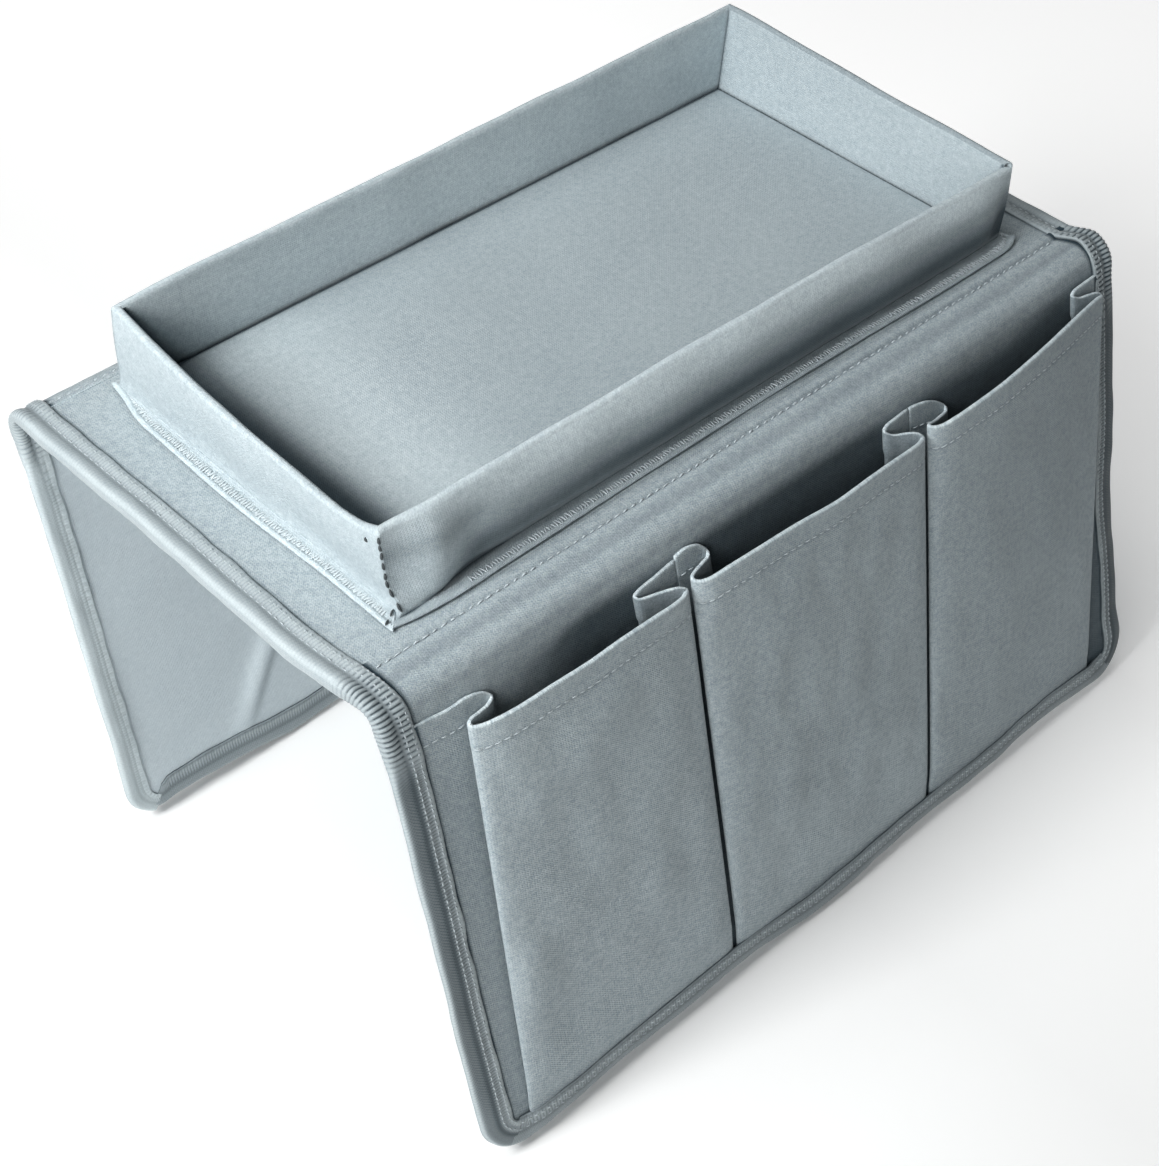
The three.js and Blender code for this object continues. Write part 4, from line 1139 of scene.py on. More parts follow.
    # the flange's turned edge, its overlocked band and the crease at the foot
    off_f = 0.4 - dd
    edge = width[:, None] - off_f
    ridge = 0.36 * ridge_at(edge, 0.7, 0.62) - 0.14 * ridge_at(edge, 1.9, 0.6) + 0.14 * ridge_at(edge, 3.2, 1.0)
    lumps = 0.05 * waves(run, off_f, 91 + len(name), 7)
    beads = 0.06 * np.sin(2 * PI * run / 1.5) * ridge_at(edge, 0.7, 0.6)
    climb = 0.9 * np.exp(-np.maximum(off_f - 0.8, 0) / 1.8) if name == "left" else 0.25 * np.exp(-np.maximum(off_f - 0.8, 0) / 1.2)
    zz = zz + np.where(on_fl, ridge + lumps + beads + climb, 0)
    if name == "front":
        zz = zz + np.where((col >= n_fl) & (col < n_fl + 3), 0.55 * smooth(corner_foot(x_from, zz), 0.6, 2.0), 0)
        curl = on_fl * smooth(x_from, 2 * TRAY_HX - 7, 2 * TRAY_HX)
        zz = zz + 1.3 * curl * smooth(off_f, 1.0, 6.0)
    across = half_across - dd + out - inside_wave
    pos = sg * across
    if long_wall:
        p = np.stack([run, TRAY_Y + pos, zz], -1)
    else:
        p = np.stack([pos, TRAY_Y + run, zz], -1)
    p = settle(p)
    mid = p[n_len // 2]
    arc = np.concatenate([[0], np.cumsum(np.linalg.norm(np.diff(mid, axis=0), axis=1))])
    uu = np.broadcast_to((c * length)[:, None], cc.shape)
    uv = np.stack([uu, np.broadcast_to(arc[None], cc.shape)], -1) * MM
    # shade: painted shade in the hollows and corners, and a painted highlight where the cloth catches the light
    from_end = end * length
    inside = wh > 0.98
    up = hh
    dark = np.zeros_like(zz)
    if name == "front":
        # a hollow along the lower half with painted shade in it, and a painted highlight over the upper half
        k_x = smooth(x_from, 90, 190)
        hollow = (0.62 + 0.24 * smooth(x_from, 45, 110)) * np.exp(-(((up - 0.24) / (0.20 + 0.07 * k_x)) ** 2))
        pale_up = -0.6 * smooth(up, 0.5 + 0.1 * k_x, 0.8 + 0.05 * k_x)
        corner = -0.27 + 0.37 * ridge_at(up, 0.65, 0.12) - 0.07 * smooth(up, 0.8, 0.94)
        k_c = 1 - smooth(x_from, 9 + 22 * up, 24 + 34 * up)
        shade_out = corner * k_c + (hollow + pale_up) * (1 - k_c)
        shade_out = shade_out + 0.16 * ridge_at(x_from, 27, 7) * ridge_at(up, 0.42, 0.26)
        shade_out = shade_out + 0.35 * smooth(x_from, 2 * TRAY_HX - 9, 2 * TRAY_HX - 2) * (up > 0.05)
        foot = smooth(x_from, 4, 14)
        shade_out = shade_out + 0.75 * np.exp(-((up / 0.08) ** 2)) * ridge_at(x_from, 27, 15)
        shade_out = shade_out + (0.05 + 0.8 * (1 - smooth(x_from, 26, 46))) * foot * np.exp(-((up / (0.04 + 0.05 * ridge_at(x_from, 24, 9))) ** 2))
    elif name == "left":
        shade_out = -0.09 - 0.05 * up + 0.10 * np.exp(-((up / 0.03) ** 2))
    else:
        shade_out = 0.12 * (1 - smooth(up, 0.1, 0.6)) + 0.4 * np.exp(-((up / 0.045) ** 2))
    dark = np.where(wall_out, shade_out, dark)
    if name == "back":
        # painted light on the back wall's inside, with a painted shadow wedge beside the left wall and painted shade at
        # its foot
        x_in = (1 + cc) * (half_run - dd)
        pale = -0.58 * (1 - 0.55 * smooth(run, 20, 110) * (1 - smooth(up, 0.25, 0.95)))
        reach = 20.0 * (1 - up) + 0.8
        pale = pale + 1.45 * (1 - smooth(x_in, 0.62 * reach, 1.08 * reach))
        shade_in = pale + 1.5 * np.exp(-((up / 0.045) ** 2)) + 0.25 * np.exp(-up / 0.10)
    elif name == "right":
        shade_in = -0.12 + 0.75 * np.exp(-((up / 0.028) ** 2))
    else:
        shade_in = 0.85 * np.exp(-((up / 0.035) ** 2)) + 0.12 * np.exp(-up / 0.16) - 0.05
    dark = np.where(inside, shade_in + 0.95 * np.exp(-((from_end / 0.9) ** 2)), dark)
    if name != "front":
        dark = dark + wall_out * 0.4 * np.exp(-((from_end / 0.5) ** 2)) * (up > 0.03)
    # on the flange: painted light over the band, painted shade near the foot, and a painted highlight along the turned
    # edge
    band = np.clip((edge - 1.2) / 0.6, 0, 1) * np.clip((off_f - 0.2) / 0.5, 0, 1)
    if name == "left":
        dark = np.where(on_fl, -0.26 - 0.14 * ridge_at(edge, 0.6, 0.6) + 0.10 * ridge_at(edge, 1.9, 0.7), dark)
    else:
        fl_k = smooth(x_from, 3, 22) if name == "front" else 1.0
        dark = np.where(on_fl, fl_k * (0.06 * band + 0.12 * band * (1 - smooth(off_f, 0.6, 4.6)) - (0.34 * band if name == "front" else 0.0)) - 0.38 * ridge_at(edge, 0.55, 0.55), dark)
    if name == "front":
        # painted shadow on the flange under the near corner's overhanging foot
        lip = corner_foot(x_from, FLANGE_Z)
        dark = np.where(on_fl, np.maximum(dark, 0.97 * np.exp(-((np.maximum(off_f - lip - 0.5, 0) / (0.5 + 0.9 * ridge_at(x_from, 26, 12))) ** 2)) * smooth(x_from, 0, 5) * (1 - smooth(x_from, 34, 62))), dark)
    arc_shade = {"front": -0.42, "left": -0.14, "back": -0.30, "right": 0.25}[name]
    dark = np.where(on_fl | (inside | wall_out), dark, arc_shade)
    dark = np.clip(dark, -0.6, 0.97)
    if name in ("left", "back"):
        p, uv, dark = p[::-1], uv[::-1], dark[::-1]
    o = cloth_sheet(f"tray_{name}_wall_cloth", p, 0.36, 0.3, uv, TRAY, dark=dark, dark_in=0.0)
    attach(o, TOP_BODY)
    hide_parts(f"tray_cover_{name}", f"tray_flange_{name}")
    # zigzag of the overlocked edge
    n = int(2 * length / 1.0)
    t = np.linspace(-0.985, 0.985, n)
    wd = flange_width(name, t)
    up_or_down = np.where(np.arange(n) % 2 == 0, 1.0, -1.0)
    off0 = wd - 1.3
    off1 = np.maximum(wd - (3.9 if long_wall else 5.0), 0.5)
    mid_off = (off0 + off1) / 2
    if name in ("front", "left"):
        keep = np.abs(t + 1) * length > (26 if name == "front" else 3)
    else:
        keep = off0 - off1 > 0.3
    rr = t * (length + mid_off)
    cpos = sg * ((TRAY_HY if long_wall else TRAY_HX) + mid_off)
    zc = np.full(n, FLANGE_Z + (0.50 if name != "left" else 0.62))
    tr, ta = np.ones(n) * 0.6, sg * (off0 - off1) * up_or_down
    if long_wall:
        cen, tang = np.stack([rr, TRAY_Y + cpos, zc], -1), np.stack([tr, ta, 0 * tr], -1)
    else:
        cen, tang = np.stack([cpos, TRAY_Y + rr, zc], -1), np.stack([ta, tr, 0 * tr], -1)
    up_n = np.tile([0.0, 0.0, 1.0], (n, 1))
    mat, wide, high = (TRAY_THREAD, 0.95, 0.26) if name == "left" else (HEM_THREAD, 0.55, 0.46)
    th_ = join_parts(f"tray_{name}_flange_stitches", [thread_parts(cen[keep], tang[keep], up_n[keep], 3.0, wide, high, seed=101, jitter=0.3)], mat)
    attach(th_, TOP_BODY)
    return o


def stiffener(name):
    """The board inside a wall, following its settled rim."""
    long_wall = name in ("front", "back")
    sg = -1 if name in ("left", "front") else 1
    length = TRAY_HX if long_wall else TRAY_HY
    c = np.linspace(-1, 1, 120 if long_wall else 70)
    u = np.linspace(0, 1, 16)
    cc, uu = np.meshgrid(c, u, indexing="ij")
    foot = FOOT_Z + 0.4
    base = foot + (RIM_Z - 2.2 - foot) * uu
    hh = (base - FOOT_Z) / (RIM_Z - FOOT_Z)
    hx, hy = wall_half(base, "x"), wall_half(base, "y")
    half_run, half_across = (hx, hy) if long_wall else (hy, hx)
    dd = 0.4 + T_RIM[name] / 2 + (3.6 - T_RIM[name]) / 2 * (1 - hh) ** 1.3 * 1.0
    zz = FOOT_Z + (base - FOOT_Z) * (rim_height(name, cc) - FOOT_Z) / (RIM_Z - FOOT_Z)
    run = cc * (half_run - 3.0)
    pos = sg * (half_across - dd)
    p = np.stack([run, TRAY_Y + pos, zz] if long_wall else [pos, TRAY_Y + run, zz], -1)
    p = settle(p)
    if name in ("left", "back"):
        p = p[::-1]
    uv = np.stack([cc * length, zz], -1) * MM
    o = cloth_sheet(f"tray_{name}_stiffener", p, 0.42, 0.42, uv, CARD)
    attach(o, TOP_BODY)
    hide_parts(f"tray_board_{name}")


def tray_floor():
    hx, hy = 126.5, 60.9
    x = np.sort(np.concatenate([np.linspace(-hx, hx, 220), -hx + np.array([0.25, 0.5, 0.8, 2.0]), hx - np.array([0.25, 0.5, 0.8])]))
    y = np.sort(np.concatenate([np.linspace(-hy, hy, 110), -hy + np.array([0.25, 0.5, 0.8]), hy - np.array([0.25, 0.5, 0.8])])) + TRAY_Y
    xx, yy = np.meshgrid(x, y, indexing="ij")
    edge = np.minimum(hx - np.abs(xx), hy - np.abs(yy - TRAY_Y))
    z = 6.1 + 0.16 * waves(xx, yy, 95, 70) * smooth(edge, 0, 14) - 0.25 * (1 - smooth(edge, 0, 1.6))
    p = np.stack([xx, yy, z], -1)
    # shade beside the left wall, then a paler strip
    dark = 0.92 * (1 - smooth(xx, -116.5, -105.5)) - 0.26 * smooth(xx, -110, -101) * (1 - smooth(xx, -96, -50)) + 0.05 * ridge_at(xx, -25, 30)
    back_edge = TRAY_Y + hy - yy
    dark = dark + 0.9 * np.exp(-((edge / 0.45) ** 2)) + 0.9 * np.exp(-((back_edge / 0.9) ** 2)) + 0.16 * np.exp(-(yy - TRAY_Y + hy) / 3.5)
    o = cloth_sheet("tray_floor_sheet", p, 0.4, 0.4, np.stack([xx, yy], -1) * MM, TRAY, dark=np.clip(dark, -0.4, 0.95), rim=-0.6)
    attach(o, TOP_BODY)
    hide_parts("tray_floor_cloth")
    return o


def tray_corner_stitches():
    """Dark whip stitches that close the near corner, and one at the rim."""
    z = np.array([30.9, 28.2, 25.1, 21.2, 17.3, 14.5, 11.6, 7.6])
    lean = 1.2 * smooth(z, 7.5, 14.0) * 0.707
    out = left_foot(z), corner_foot(0.0, z)
    x = -(wall_half(z, "x") + out[0]) - lean - 0.20
    y = TRAY_Y - (wall_half(z, "y") + out[1]) + lean - 0.05
    c = np.stack([x, y, z], -1)
    t = np.gradient(c, axis=0) + np.array([[0.0, 0.0, 0.0], [0.3, 0.2, 0], [-0.3, 0, 0], [0.2, 0.1, 0], [-0.2, 0, 0], [0.3, 0, 0], [0, 0, 0], [0.2, 0, 0]])
    n = np.tile([-0.707, -0.707, 0.0], (len(z), 1))
    parts = [thread_parts(c, t, n, 2.9, 0.95, 0.55, lift=0.16, seed=111)]
    lo = np.array([[-134.0, -64.3, FLANGE_Z + 1.0], [-137.2, -66.1, FLANGE_Z + 0.72]])
    parts.append(thread_parts(lo, np.array([[-0.87, -0.5, -0.08], [-0.87, -0.5, -0.05]]), np.array([[0.0, 0.0, 1.0], [0.0, 0.0, 1.0]]), 2.7, 0.75, 0.5, lift=0.3, seed=112))
    parts.append(thread_parts([[-133.9, -55.2, 26.9]], [[0.0, 0.45, 1.0]], [[-1.0, 0.0, 0.0]], 2.0, 1.0, 0.6, lift=0.35, seed=113))
    o = join_parts("tray_corner_stitches", parts, DARK_THREAD)
    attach(o, TOP_BODY)


# ------------------------------------------------------------------ pockets


def spline_rows(ctrl, step):
    """A smooth path through rows of control values, with the index of each control row in it.
    Points are closer together where the rows are."""
    c = np.asarray(ctrl, float)
    lead = np.concatenate([[2 * c[0] - c[1]], c, [2 * c[-1] - c[-2]]])
    out, at = [c[0]], [0]
    for i in range(len(c) - 1):
        p0, p1, p2, p3 = lead[i], lead[i + 1], lead[i + 2], lead[i + 3]
        # centripetal knots, from the distances at the mouth
        dist = lambda a, b: max(np.linalg.norm((a - b)[:2]), np.linalg.norm((a - b)[3:5]), 1e-3) ** 0.5
        t0 = 0.0
        t1 = t0 + dist(p0, p1)
        t2 = t1 + dist(p1, p2)
        t3 = t2 + dist(p2, p3)
        n = int(np.clip(math.ceil(dist(p1, p2) ** 2 / step), 2, 16))
        for t in np.linspace(t1, t2, n + 1)[1:]:
            a1 = (t1 - t) / (t1 - t0) * p0 + (t - t0) / (t1 - t0) * p1
            a2 = (t2 - t) / (t2 - t1) * p1 + (t - t1) / (t2 - t1) * p2
            a3 = (t3 - t) / (t3 - t2) * p2 + (t - t2) / (t3 - t2) * p3
            b1 = (t2 - t) / (t2 - t0) * a1 + (t - t0) / (t2 - t0) * a2
            b2 = (t3 - t) / (t3 - t1) * a2 + (t - t1) / (t3 - t1) * a3
            out.append((t2 - t) / (t2 - t1) * b1 + (t - t1) / (t2 - t1) * b2)
        at.append(len(out) - 1)
    return np.array(out), at


def pocket(side, name, ctrl, front, seed, creases=(), strips=(), pleat=((0.24, 0.60), (0.24, 0.60)), tone=lambda x, s, down: 0.0):
    """One length of cloth: from its seam on the flap, back fold, front fold, across the front, and the same again.
    Each control row is x, h and s at the mouth, then x and h at the bottom. front is the first and last
    control row of the front itself, and strips the rows of the flat parts beside it that show their hem."""
    path, at = spline_rows(ctrl, 0.85)
    m = len(path)
    i0, i1 = at[front[0]], at[front[1]]
    rows = 80
    t = np.concatenate([np.linspace(0, 0.085, 18)[:-1], np.linspace(0.085, 1, rows - 17)])
    tt = np.broadcast_to(t[None], (m, rows))
    k = 1 - tt
    xm, hm, sm, xb, hb = (path[:, j][:, None] for j in range(5))
    s_bottom = side.bottom - 8.5
    x = xb + (xm - xb) * k
    h = hb + (hm - hb) * k**0.85
    ss = sm + (s_bottom - sm) * tt
    fr = np.zeros(m)
    fr[i0:i1 + 1] = 1
    kf = np.clip((np.arange(m) - i0) / max(i1 - i0, 1), 0, 1)
    soft = 0.50 * waves(x, ss, seed, 60) + 0.24 * waves(x, ss, seed + 1, 24) + 0.07 * waves(x, ss, seed + 2, 9)
    keep = fr[:, None] * smooth(np.minimum(kf, 1 - kf)[:, None], 0.0, 0.10) * smooth(tt, 0.0, 0.12) * (1 - smooth(tt, 0.84, 0.95))
    h = h + soft * keep
    for (cx, cs, dx, ds, width, length, deep) in creases:
        n_ = math.hypot(dx, ds)
        al = ((x - cx) * dx + (ss - cs) * ds) / n_
        ac = ((x - cx) * -ds + (ss - cs) * dx) / n_
        h = h + keep * deep * np.exp(-((ac / width) ** 2)) * np.exp(-((al / length) ** 2))
    # pressed flat under the bottom tape
    press = smooth(ss, side.bottom - 22, side.bottom - 11.5)
    h = h + (np.minimum(h, 0.42 + 0.52 * h) - h) * press
    # hem: a second layer inside the top 8 mm, with the stitch line pulling the cloth in
    hem_at = 7.2
    down = ss - sm
    h = h - 0.15 * np.exp(-(((down - hem_at) / 0.8) ** 2)) * fr[:, None] + 0.012 * waves(x, ss, seed + 9, 4) * (down < hem_at)
    p = side.at(x, ss, h)
    seg = np.linalg.norm(np.diff(p[:, 4], axis=0), axis=1)
    arc = np.concatenate([[0], np.cumsum(seg)])
    inner = 0.38 + (0.75 * fr[:, None] + 0.42 * (1 - fr[:, None])) * (1 - smooth(down, hem_at + 0.2, hem_at + 1.2))
    outer = 0.38 + 0.06 * (1 - smooth(down, hem_at - 0.4, hem_at + 0.6)) * np.ones((m, 1))
    # shade: painted shade on the pleats, most at their back folds, along the hem line and near the bottom, a painted
    # highlight on the turned edges and the mouth, and tone adds painted shade and light across the front
    away = np.abs(np.arange(m)[:, None] - np.clip(np.arange(m)[:, None], i0, i1))
    lower = smooth(down, 2, 30)
    before = np.arange(m)[:, None] < i0
    after = np.arange(m)[:, None] > i1
    dark = (before * (pleat[0][0] + pleat[0][1] * lower) + after * (pleat[1][0] + pleat[1][1] * lower)) * smooth(away, 0, 6)
    dark = dark + tone(x, ss, down) * fr[:, None]
    near_tip = np.minimum(np.abs(np.arange(m) - i0), np.abs(np.arange(m) - i1))[:, None]
    dark = dark - 0.08 * np.exp(-((near_tip / 4.0) ** 2)) * (1 - away / 6.0).clip(0, 1)
    dark = dark + 0.30 * np.exp(-(((down - hem_at - 0.2) / 0.45) ** 2))
    dark = dark - 0.24 * np.exp(-((down / 0.7) ** 2))
    dark = dark + 0.42 * smooth(ss, side.bottom - 13.5, side.bottom - 10.6) + 0.10 * smooth(ss, side.bottom - 24, side.bottom - 12)
    if side.sign < 0:
        edge = by_tape(side, x, ss)
        dark = np.maximum(dark, tape_shadow(np.maximum(edge, 0)) * (away > 0))
    # painted shade on the inside of the pocket, deeper further down
    dark_in = 0.45 + 0.3 * smooth(down, 0, 25)
    uv = np.stack([np.broadcast_to(arc[:, None], x.shape), ss], -1) * MM
    order = slice(None, None, -1) if side.sign < 0 else slice(None)
    p, uv, outer, inner, dark, dark_in = (np.broadcast_to(q, x.shape + q.shape[2:])[order] for q in (p, uv, outer, inner, dark, dark_in))
    obj = f"{side.prefix}_pocket_cloth_{name}"
    o = cloth_sheet(obj, p, outer, inner, uv, CLOTH, dark=dark, dark_in=dark_in, rim=0.55)
    ends = pocket_blend(side)
    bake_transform(o)
    n = grid_normals(p)[order]
    p, outer = p[order], outer[order]
    parts = []

    def row_at(i_from, i_to, below):
        pts, nr = [], []
        for i in range(i_from, i_to):
            f = np.interp(below, down[i], np.arange(rows))
            a, b = int(f), min(int(f) + 1, rows - 1)
            w = f - a
            nn = n[i, a] * (1 - w) + n[i, b] * w
            pts.append(p[i, a] * (1 - w) + p[i, b] * w + nn * (outer[i, a] - 0.04))
            nr.append(nn)
        return np.array(pts), np.array(nr)

    for a, b in [(i0 + 1, i1)] + [(at[u], at[v]) for u, v in strips]:
        pts, nr = row_at(a, b, hem_at)
        parts.append(stitch_line(pts, nr, 3.0, 2.5, 0.55, 0.36, seed=seed + 7))
    t_ = join_parts(f"{obj}_hem_stitches", parts, HEM_THREAD)
    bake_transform(t_)
    return o


def pocket_blend(side):
    s = 60.0
    a = side.at(0, s, 0.9) - side.normal(s) * side.sway(0, s)
    b = side.at(0, s, 8.0) - side.normal(s) * side.sway(0, s)
    return [tuple(float(c) * MM for c in w) for w in (a, b)]


LEFT = [
    (-152.0, 0.45, 11.6, -152.0, 0.45), (-145.0, 0.6, 12.3, -146.0, 0.45), (-138.0, 0.8, 13.1, -140.0, 0.45),
    (-131.5, 0.9, 13.0, -134.0, 0.45), (-127.5, 1.0, 13.9, -131.2, 0.5), (-124.9, 1.3, 15.3, -130.2, 0.6),
    (-124.2, 1.9, 16.5, -130.0, 0.9), (-125.8, 2.7, 17.3, -130.6, 1.2), (-130.3, 3.6, 17.4, -134.5, 1.3),
    (-133.8, 4.2, 17.3, -140.4, 1.35), (-135.2, 4.9, 17.9, -142.5, 1.6), (-134.9, 5.9, 18.7, -142.7, 2.1),
    (-132.5, 7.3, 19.1, -141.0, 2.8), (-128.0, 8.9, 18.9, -136.4, 3.2), (-121.0, 9.9, 18.9, -128.0, 3.2),
    (-108.0, 10.5, 18.7, -112.0, 2.9), (-95.0, 10.6, 19.1, -96.0, 2.7), (-82.0, 10.5, 18.8, -82.0, 2.6),
    (-69.0, 10.1, 19.2, -69.0, 2.6), (-59.5, 9.4, 19.9, -58.7, 2.6), (-55.0, 8.3, 20.1, -54.0, 2.4),
    (-53.0, 7.0, 19.5, -52.5, 2.0), (-54.4, 6.1, 18.4, -53.1, 1.6), (-58.0, 4.8, 17.6, -55.5, 1.35),
    (-64.0, 3.2, 17.0, -61.0, 1.3), (-67.6, 2.3, 16.3, -64.8, 1.1), (-68.1, 1.5, 15.5, -65.4, 0.8),
    (-66.0, 1.0, 14.9, -64.2, 0.55), (-58.5, 0.85, 14.0, -58.5, 0.45), (-51.2, 0.6, 13.0, -52.0, 0.45),
]
MIDDLE = [
    (-50.2, 0.6, 12.0, -51.0, 0.45), (-47.0, 0.9, 11.2, -48.5, 0.45), (-43.5, 1.1, 11.7, -43.0, 0.45),
    (-40.6, 1.3, 13.2, -38.8, 0.55), (-39.2, 1.9, 15.2, -37.4, 0.8), (-39.6, 2.6, 16.5, -37.8, 1.1),
    (-43.0, 3.6, 17.0, -41.0, 1.3), (-47.4, 4.9, 17.1, -46.0, 1.35), (-49.8, 6.0, 17.3, -49.2, 1.5),
    (-50.3, 7.1, 17.8, -49.7, 1.9), (-49.0, 8.5, 18.6, -49.2, 2.5), (-46.0, 10.0, 18.6, -47.0, 3.1),
    (-39.0, 11.1, 18.0, -40.0, 3.3), (-26.0, 11.8, 17.9, -27.0, 3.1), (-10.0, 12.5, 18.0, -10.0, 2.8),
    (6.0, 13.0, 18.9, 6.0, 2.7), (22.0, 12.7, 18.6, 19.0, 2.6), (34.0, 12.0, 19.0, 31.0, 2.6),
    (43.0, 11.1, 19.8, 39.5, 2.6), (48.6, 9.9, 20.3, 44.0, 2.5), (51.0, 8.6, 19.9, 45.6, 2.0),
    (50.0, 7.5, 18.6, 45.2, 1.6), (47.4, 5.8, 17.7, 43.0, 1.35), (44.3, 3.9, 17.4, 38.5, 1.3),
    (41.8, 2.7, 16.3, 34.0, 1.1), (40.8, 1.8, 15.1, 32.9, 0.8), (42.6, 1.2, 14.3, 34.2, 0.55),
    (47.5, 1.0, 13.9, 39.5, 0.45), (53.2, 0.6, 13.8, 46.6, 0.45),
]
RIGHT_ = [
    (54.4, 0.6, 13.8, 47.6, 0.45), (58.5, 1.0, 14.2, 52.0, 0.45), (63.0, 1.2, 15.4, 57.0, 0.45),
    (67.0, 1.4, 17.6, 60.0, 0.55), (69.3, 1.9, 19.8, 61.2, 0.8), (68.8, 2.7, 20.8, 60.8, 1.1),
    (64.6, 4.0, 20.7, 57.0, 1.3), (59.3, 5.7, 19.5, 52.0, 1.35), (55.5, 7.1, 18.2, 49.1, 1.5),
    (54.2, 8.3, 17.9, 48.3, 1.9), (55.0, 9.4, 18.4, 48.9, 2.5), (57.7, 10.9, 18.7, 51.5, 3.1),
    (63.0, 12.2, 18.1, 57.0, 3.3), (73.0, 12.8, 17.5, 68.0, 3.1), (86.0, 12.9, 16.8, 82.0, 2.8),
    (100.0, 12.1, 15.9, 96.0, 2.7), (114.0, 10.8, 15.1, 110.0, 2.6), (127.0, 8.9, 14.7, 122.5, 2.5),
    (138.4, 7.0, 14.7, 132.0, 2.4), (145.6, 5.5, 15.2, 136.6, 2.2), (149.0, 4.6, 15.4, 138.7, 1.8),
    (148.6, 3.9, 14.5, 138.9, 1.5), (144.5, 3.3, 13.3, 138.0, 1.3), (139.4, 2.4, 12.6, 133.5, 1.15),
    (136.9, 1.7, 11.0, 131.0, 0.85), (138.6, 1.2, 10.2, 131.8, 0.6), (144.5, 0.9, 9.9, 137.0, 0.45),
    (152.2, 0.6, 9.9, 151.0, 0.45),
]


def front_pockets():
    S = FRONT
    pocket(S, "left", LEFT, (10, 21), 201, creases=[(-118, 120, 0.25, 1, 9, 40, -0.6), (-70, 70, -0.2, 1, 8, 40, 0.4), (-96, 60, 0.5, 1, 7, 30, 0.35)], strips=[(0, 6)], pleat=((0.06, 0.12), (0.24, 0.60)), tone=lambda x, s, d: -0.08 * smooth(s, 110, 150))
    pocket(S, "middle", MIDDLE, (9, 20), 301, creases=[(-20, 110, 0.15, 1, 10, 45, 0.5), (25, 80, -0.1, 1, 9, 40, -0.45)], strips=[(0, 4), (22, 26)], tone=lambda x, s, d: 0.08 - 0.12 * smooth(s, 110, 150))
    pocket(S, "right", RIGHT_, (9, 20), 401, creases=[(80, 100, 0.1, 1, 9, 45, 0.5), (120, 60, -0.3, 1, 8, 30, 0.35)], strips=[(0, 4), (22, 27)], tone=lambda x, s, d: 0.13 + 0.10 * smooth(x, 70, 120) * (1 - smooth(s, 50, 120)))
    for nm, pl in (("left", ("left_end", "left_inner")), ("middle", ("middle_left", "middle_right")), ("right", ("right_inner", "right_end"))):
        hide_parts(f"front_pocket_{nm}", *[f"front_pleat_{p}" for p in pl])


def back_pockets():
    S = BACK
    lower = 4.2

    def shifted(row, i):
        xm, hm, sm, xb, hb = row
        k = float(np.clip((i - 14) / 4.0, 0, 1))
        return (xm + 51.0 * k, hm * 0.94, sm + lower, xb + 51.0 * k, hb)

    left = [shifted(r, i) for i, r in enumerate(LEFT)]
    right = [(-xm, hm * (0.96 + 0.03 * math.sin(i)), sm + 0.3, -xb, hb) for i, (xm, hm, sm, xb, hb) in enumerate(left)][::-1]
    right = [(xm, hm, sm, xb, hb) if xm < 150 else (min(xm, 150.5), hm, sm, min(xb, 150.5), hb) for xm, hm, sm, xb, hb in right]
    n = len(LEFT)
    pocket(S, "left", left, (10, 21), 501, creases=[(-90, 100, 0.2, 1, 10, 45, 0.5)], strips=[(0, 6)])
    pocket(S, "right", right, (n - 22, n - 11), 601, creases=[(70, 90, -0.2, 1, 10, 45, 0.5)], strips=[(n - 7, n - 1)])
    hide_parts("back_pocket_left", "back_pleat_left_end", "back_pleat_left_inner")
    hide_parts("back_pocket_right", "back_pleat_right_inner", "back_pleat_right_end")


# ------------------------------------------------------------------ build

top_panel()
for side in (FRONT, BACK):
    flap_cloth(side)
lining_pieces()
end_tape(True)
end_tape(False)
for side in (FRONT, BACK):
    side_tape(side, True)
    side_tape(side, False)
    bottom_tape(side)
for wall in ("left", "right", "front", "back"):
    tray_wall(wall)
tray_floor()
tray_corner_stitches()
front_pockets()
back_pockets()

for node in ("top_board", "front_flap_board", "back_flap_board", "tray_floor_board"):
    o = bpy.data.objects.get(node)
    if o is not None:
        o.data.materials.clear()
        o.data.materials.append(CARD)

# ------------------------------------------------------------------ stage and light

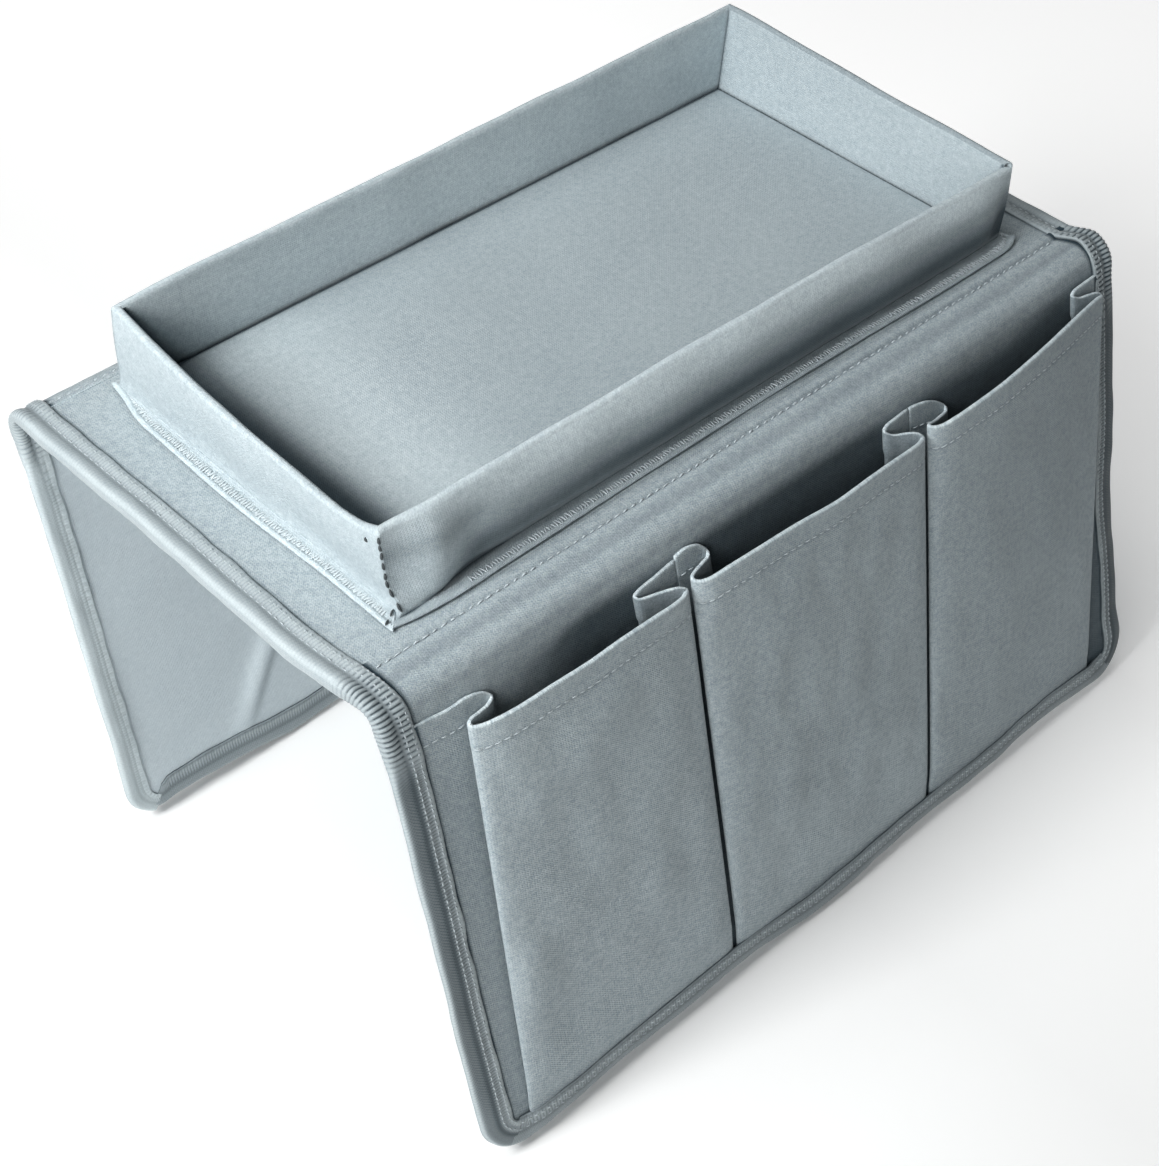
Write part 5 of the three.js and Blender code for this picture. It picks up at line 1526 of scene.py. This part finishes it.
floor_z = float(CAD_LO.z) - 0.0012
floor_mesh = bpy.data.meshes.new("studio_floor")
R = 4.0
floor_mesh.from_pydata([(-R, -R, floor_z), (R, -R, floor_z), (R, R, floor_z), (-R, R, floor_z)], [], [(0, 1, 2, 3)])
studio_floor = bpy.data.objects.new("studio_floor", floor_mesh)
bpy.context.scene.collection.objects.link(studio_floor)
fl = Nodes("studio_floor_mat")
fl.bsdf.inputs["Base Color"].default_value = (0.93, 0.935, 0.93, 1)
fl.bsdf.inputs["Roughness"].default_value = 0.9
fl.bsdf.inputs["Specular IOR Level"].default_value = 0.1
fl_x = fl.tree.nodes.new("ShaderNodeSeparateXYZ")
fl.tree.links.new(fl.obj(), fl_x.inputs[0])
fl_k = fl.math("MULTIPLY", fl.math("ADD", fl_x.outputs[0], -0.0), 2.4, clamp=True)
fl_back = fl.math("MULTIPLY", fl.math("ADD", fl_x.outputs[1], -0.02), 1.2, clamp=True)
fl.tree.links.new(fl.math("MULTIPLY", fl.math("ADD", fl_k, fl_back, clamp=True), 0.48), fl.bsdf.inputs["Emission Strength"])
fl.bsdf.inputs["Emission Color"].default_value = (1, 1, 1, 1)
floor_mesh.materials.append(fl.mat)

scene = bpy.context.scene
scene.view_settings.view_transform = "Standard"
scene.view_settings.look = "None"

world = bpy.data.worlds.new("studio_world")
scene.world = world
world.use_nodes = True
bg = world.node_tree.nodes["Background"]
bg.inputs[0].default_value = (0.97, 0.985, 1.0, 1)
bg.inputs[1].default_value = 0.04


def area(name, loc, target, size, power, colour=(1, 1, 1)):
    d = bpy.data.lights.new(name, "AREA")
    d.shape = "SQUARE"
    d.size = size
    d.energy = power
    d.color = colour
    o = bpy.data.objects.new(name, d)
    scene.collection.objects.link(o)
    o.location = loc
    o.rotation_euler = (Vector(target) - Vector(loc)).to_track_quat("-Z", "Y").to_euler()
    return o


area("left_high", (-1.2, 0.1, 1.0), (-0.05, 0, -0.03), 0.6, 5.0)
area("left_low", (-1.1, -0.7, 0.45), (-0.05, 0, -0.05), 0.6, 6.6)
area("left_near", (-0.65, 0.0, 0.45), (-0.05, 0, -0.03), 0.3, 5.4)
area("top", (-0.1, 0.3, 1.5), (0, 0, 0), 1.0, 8.6)
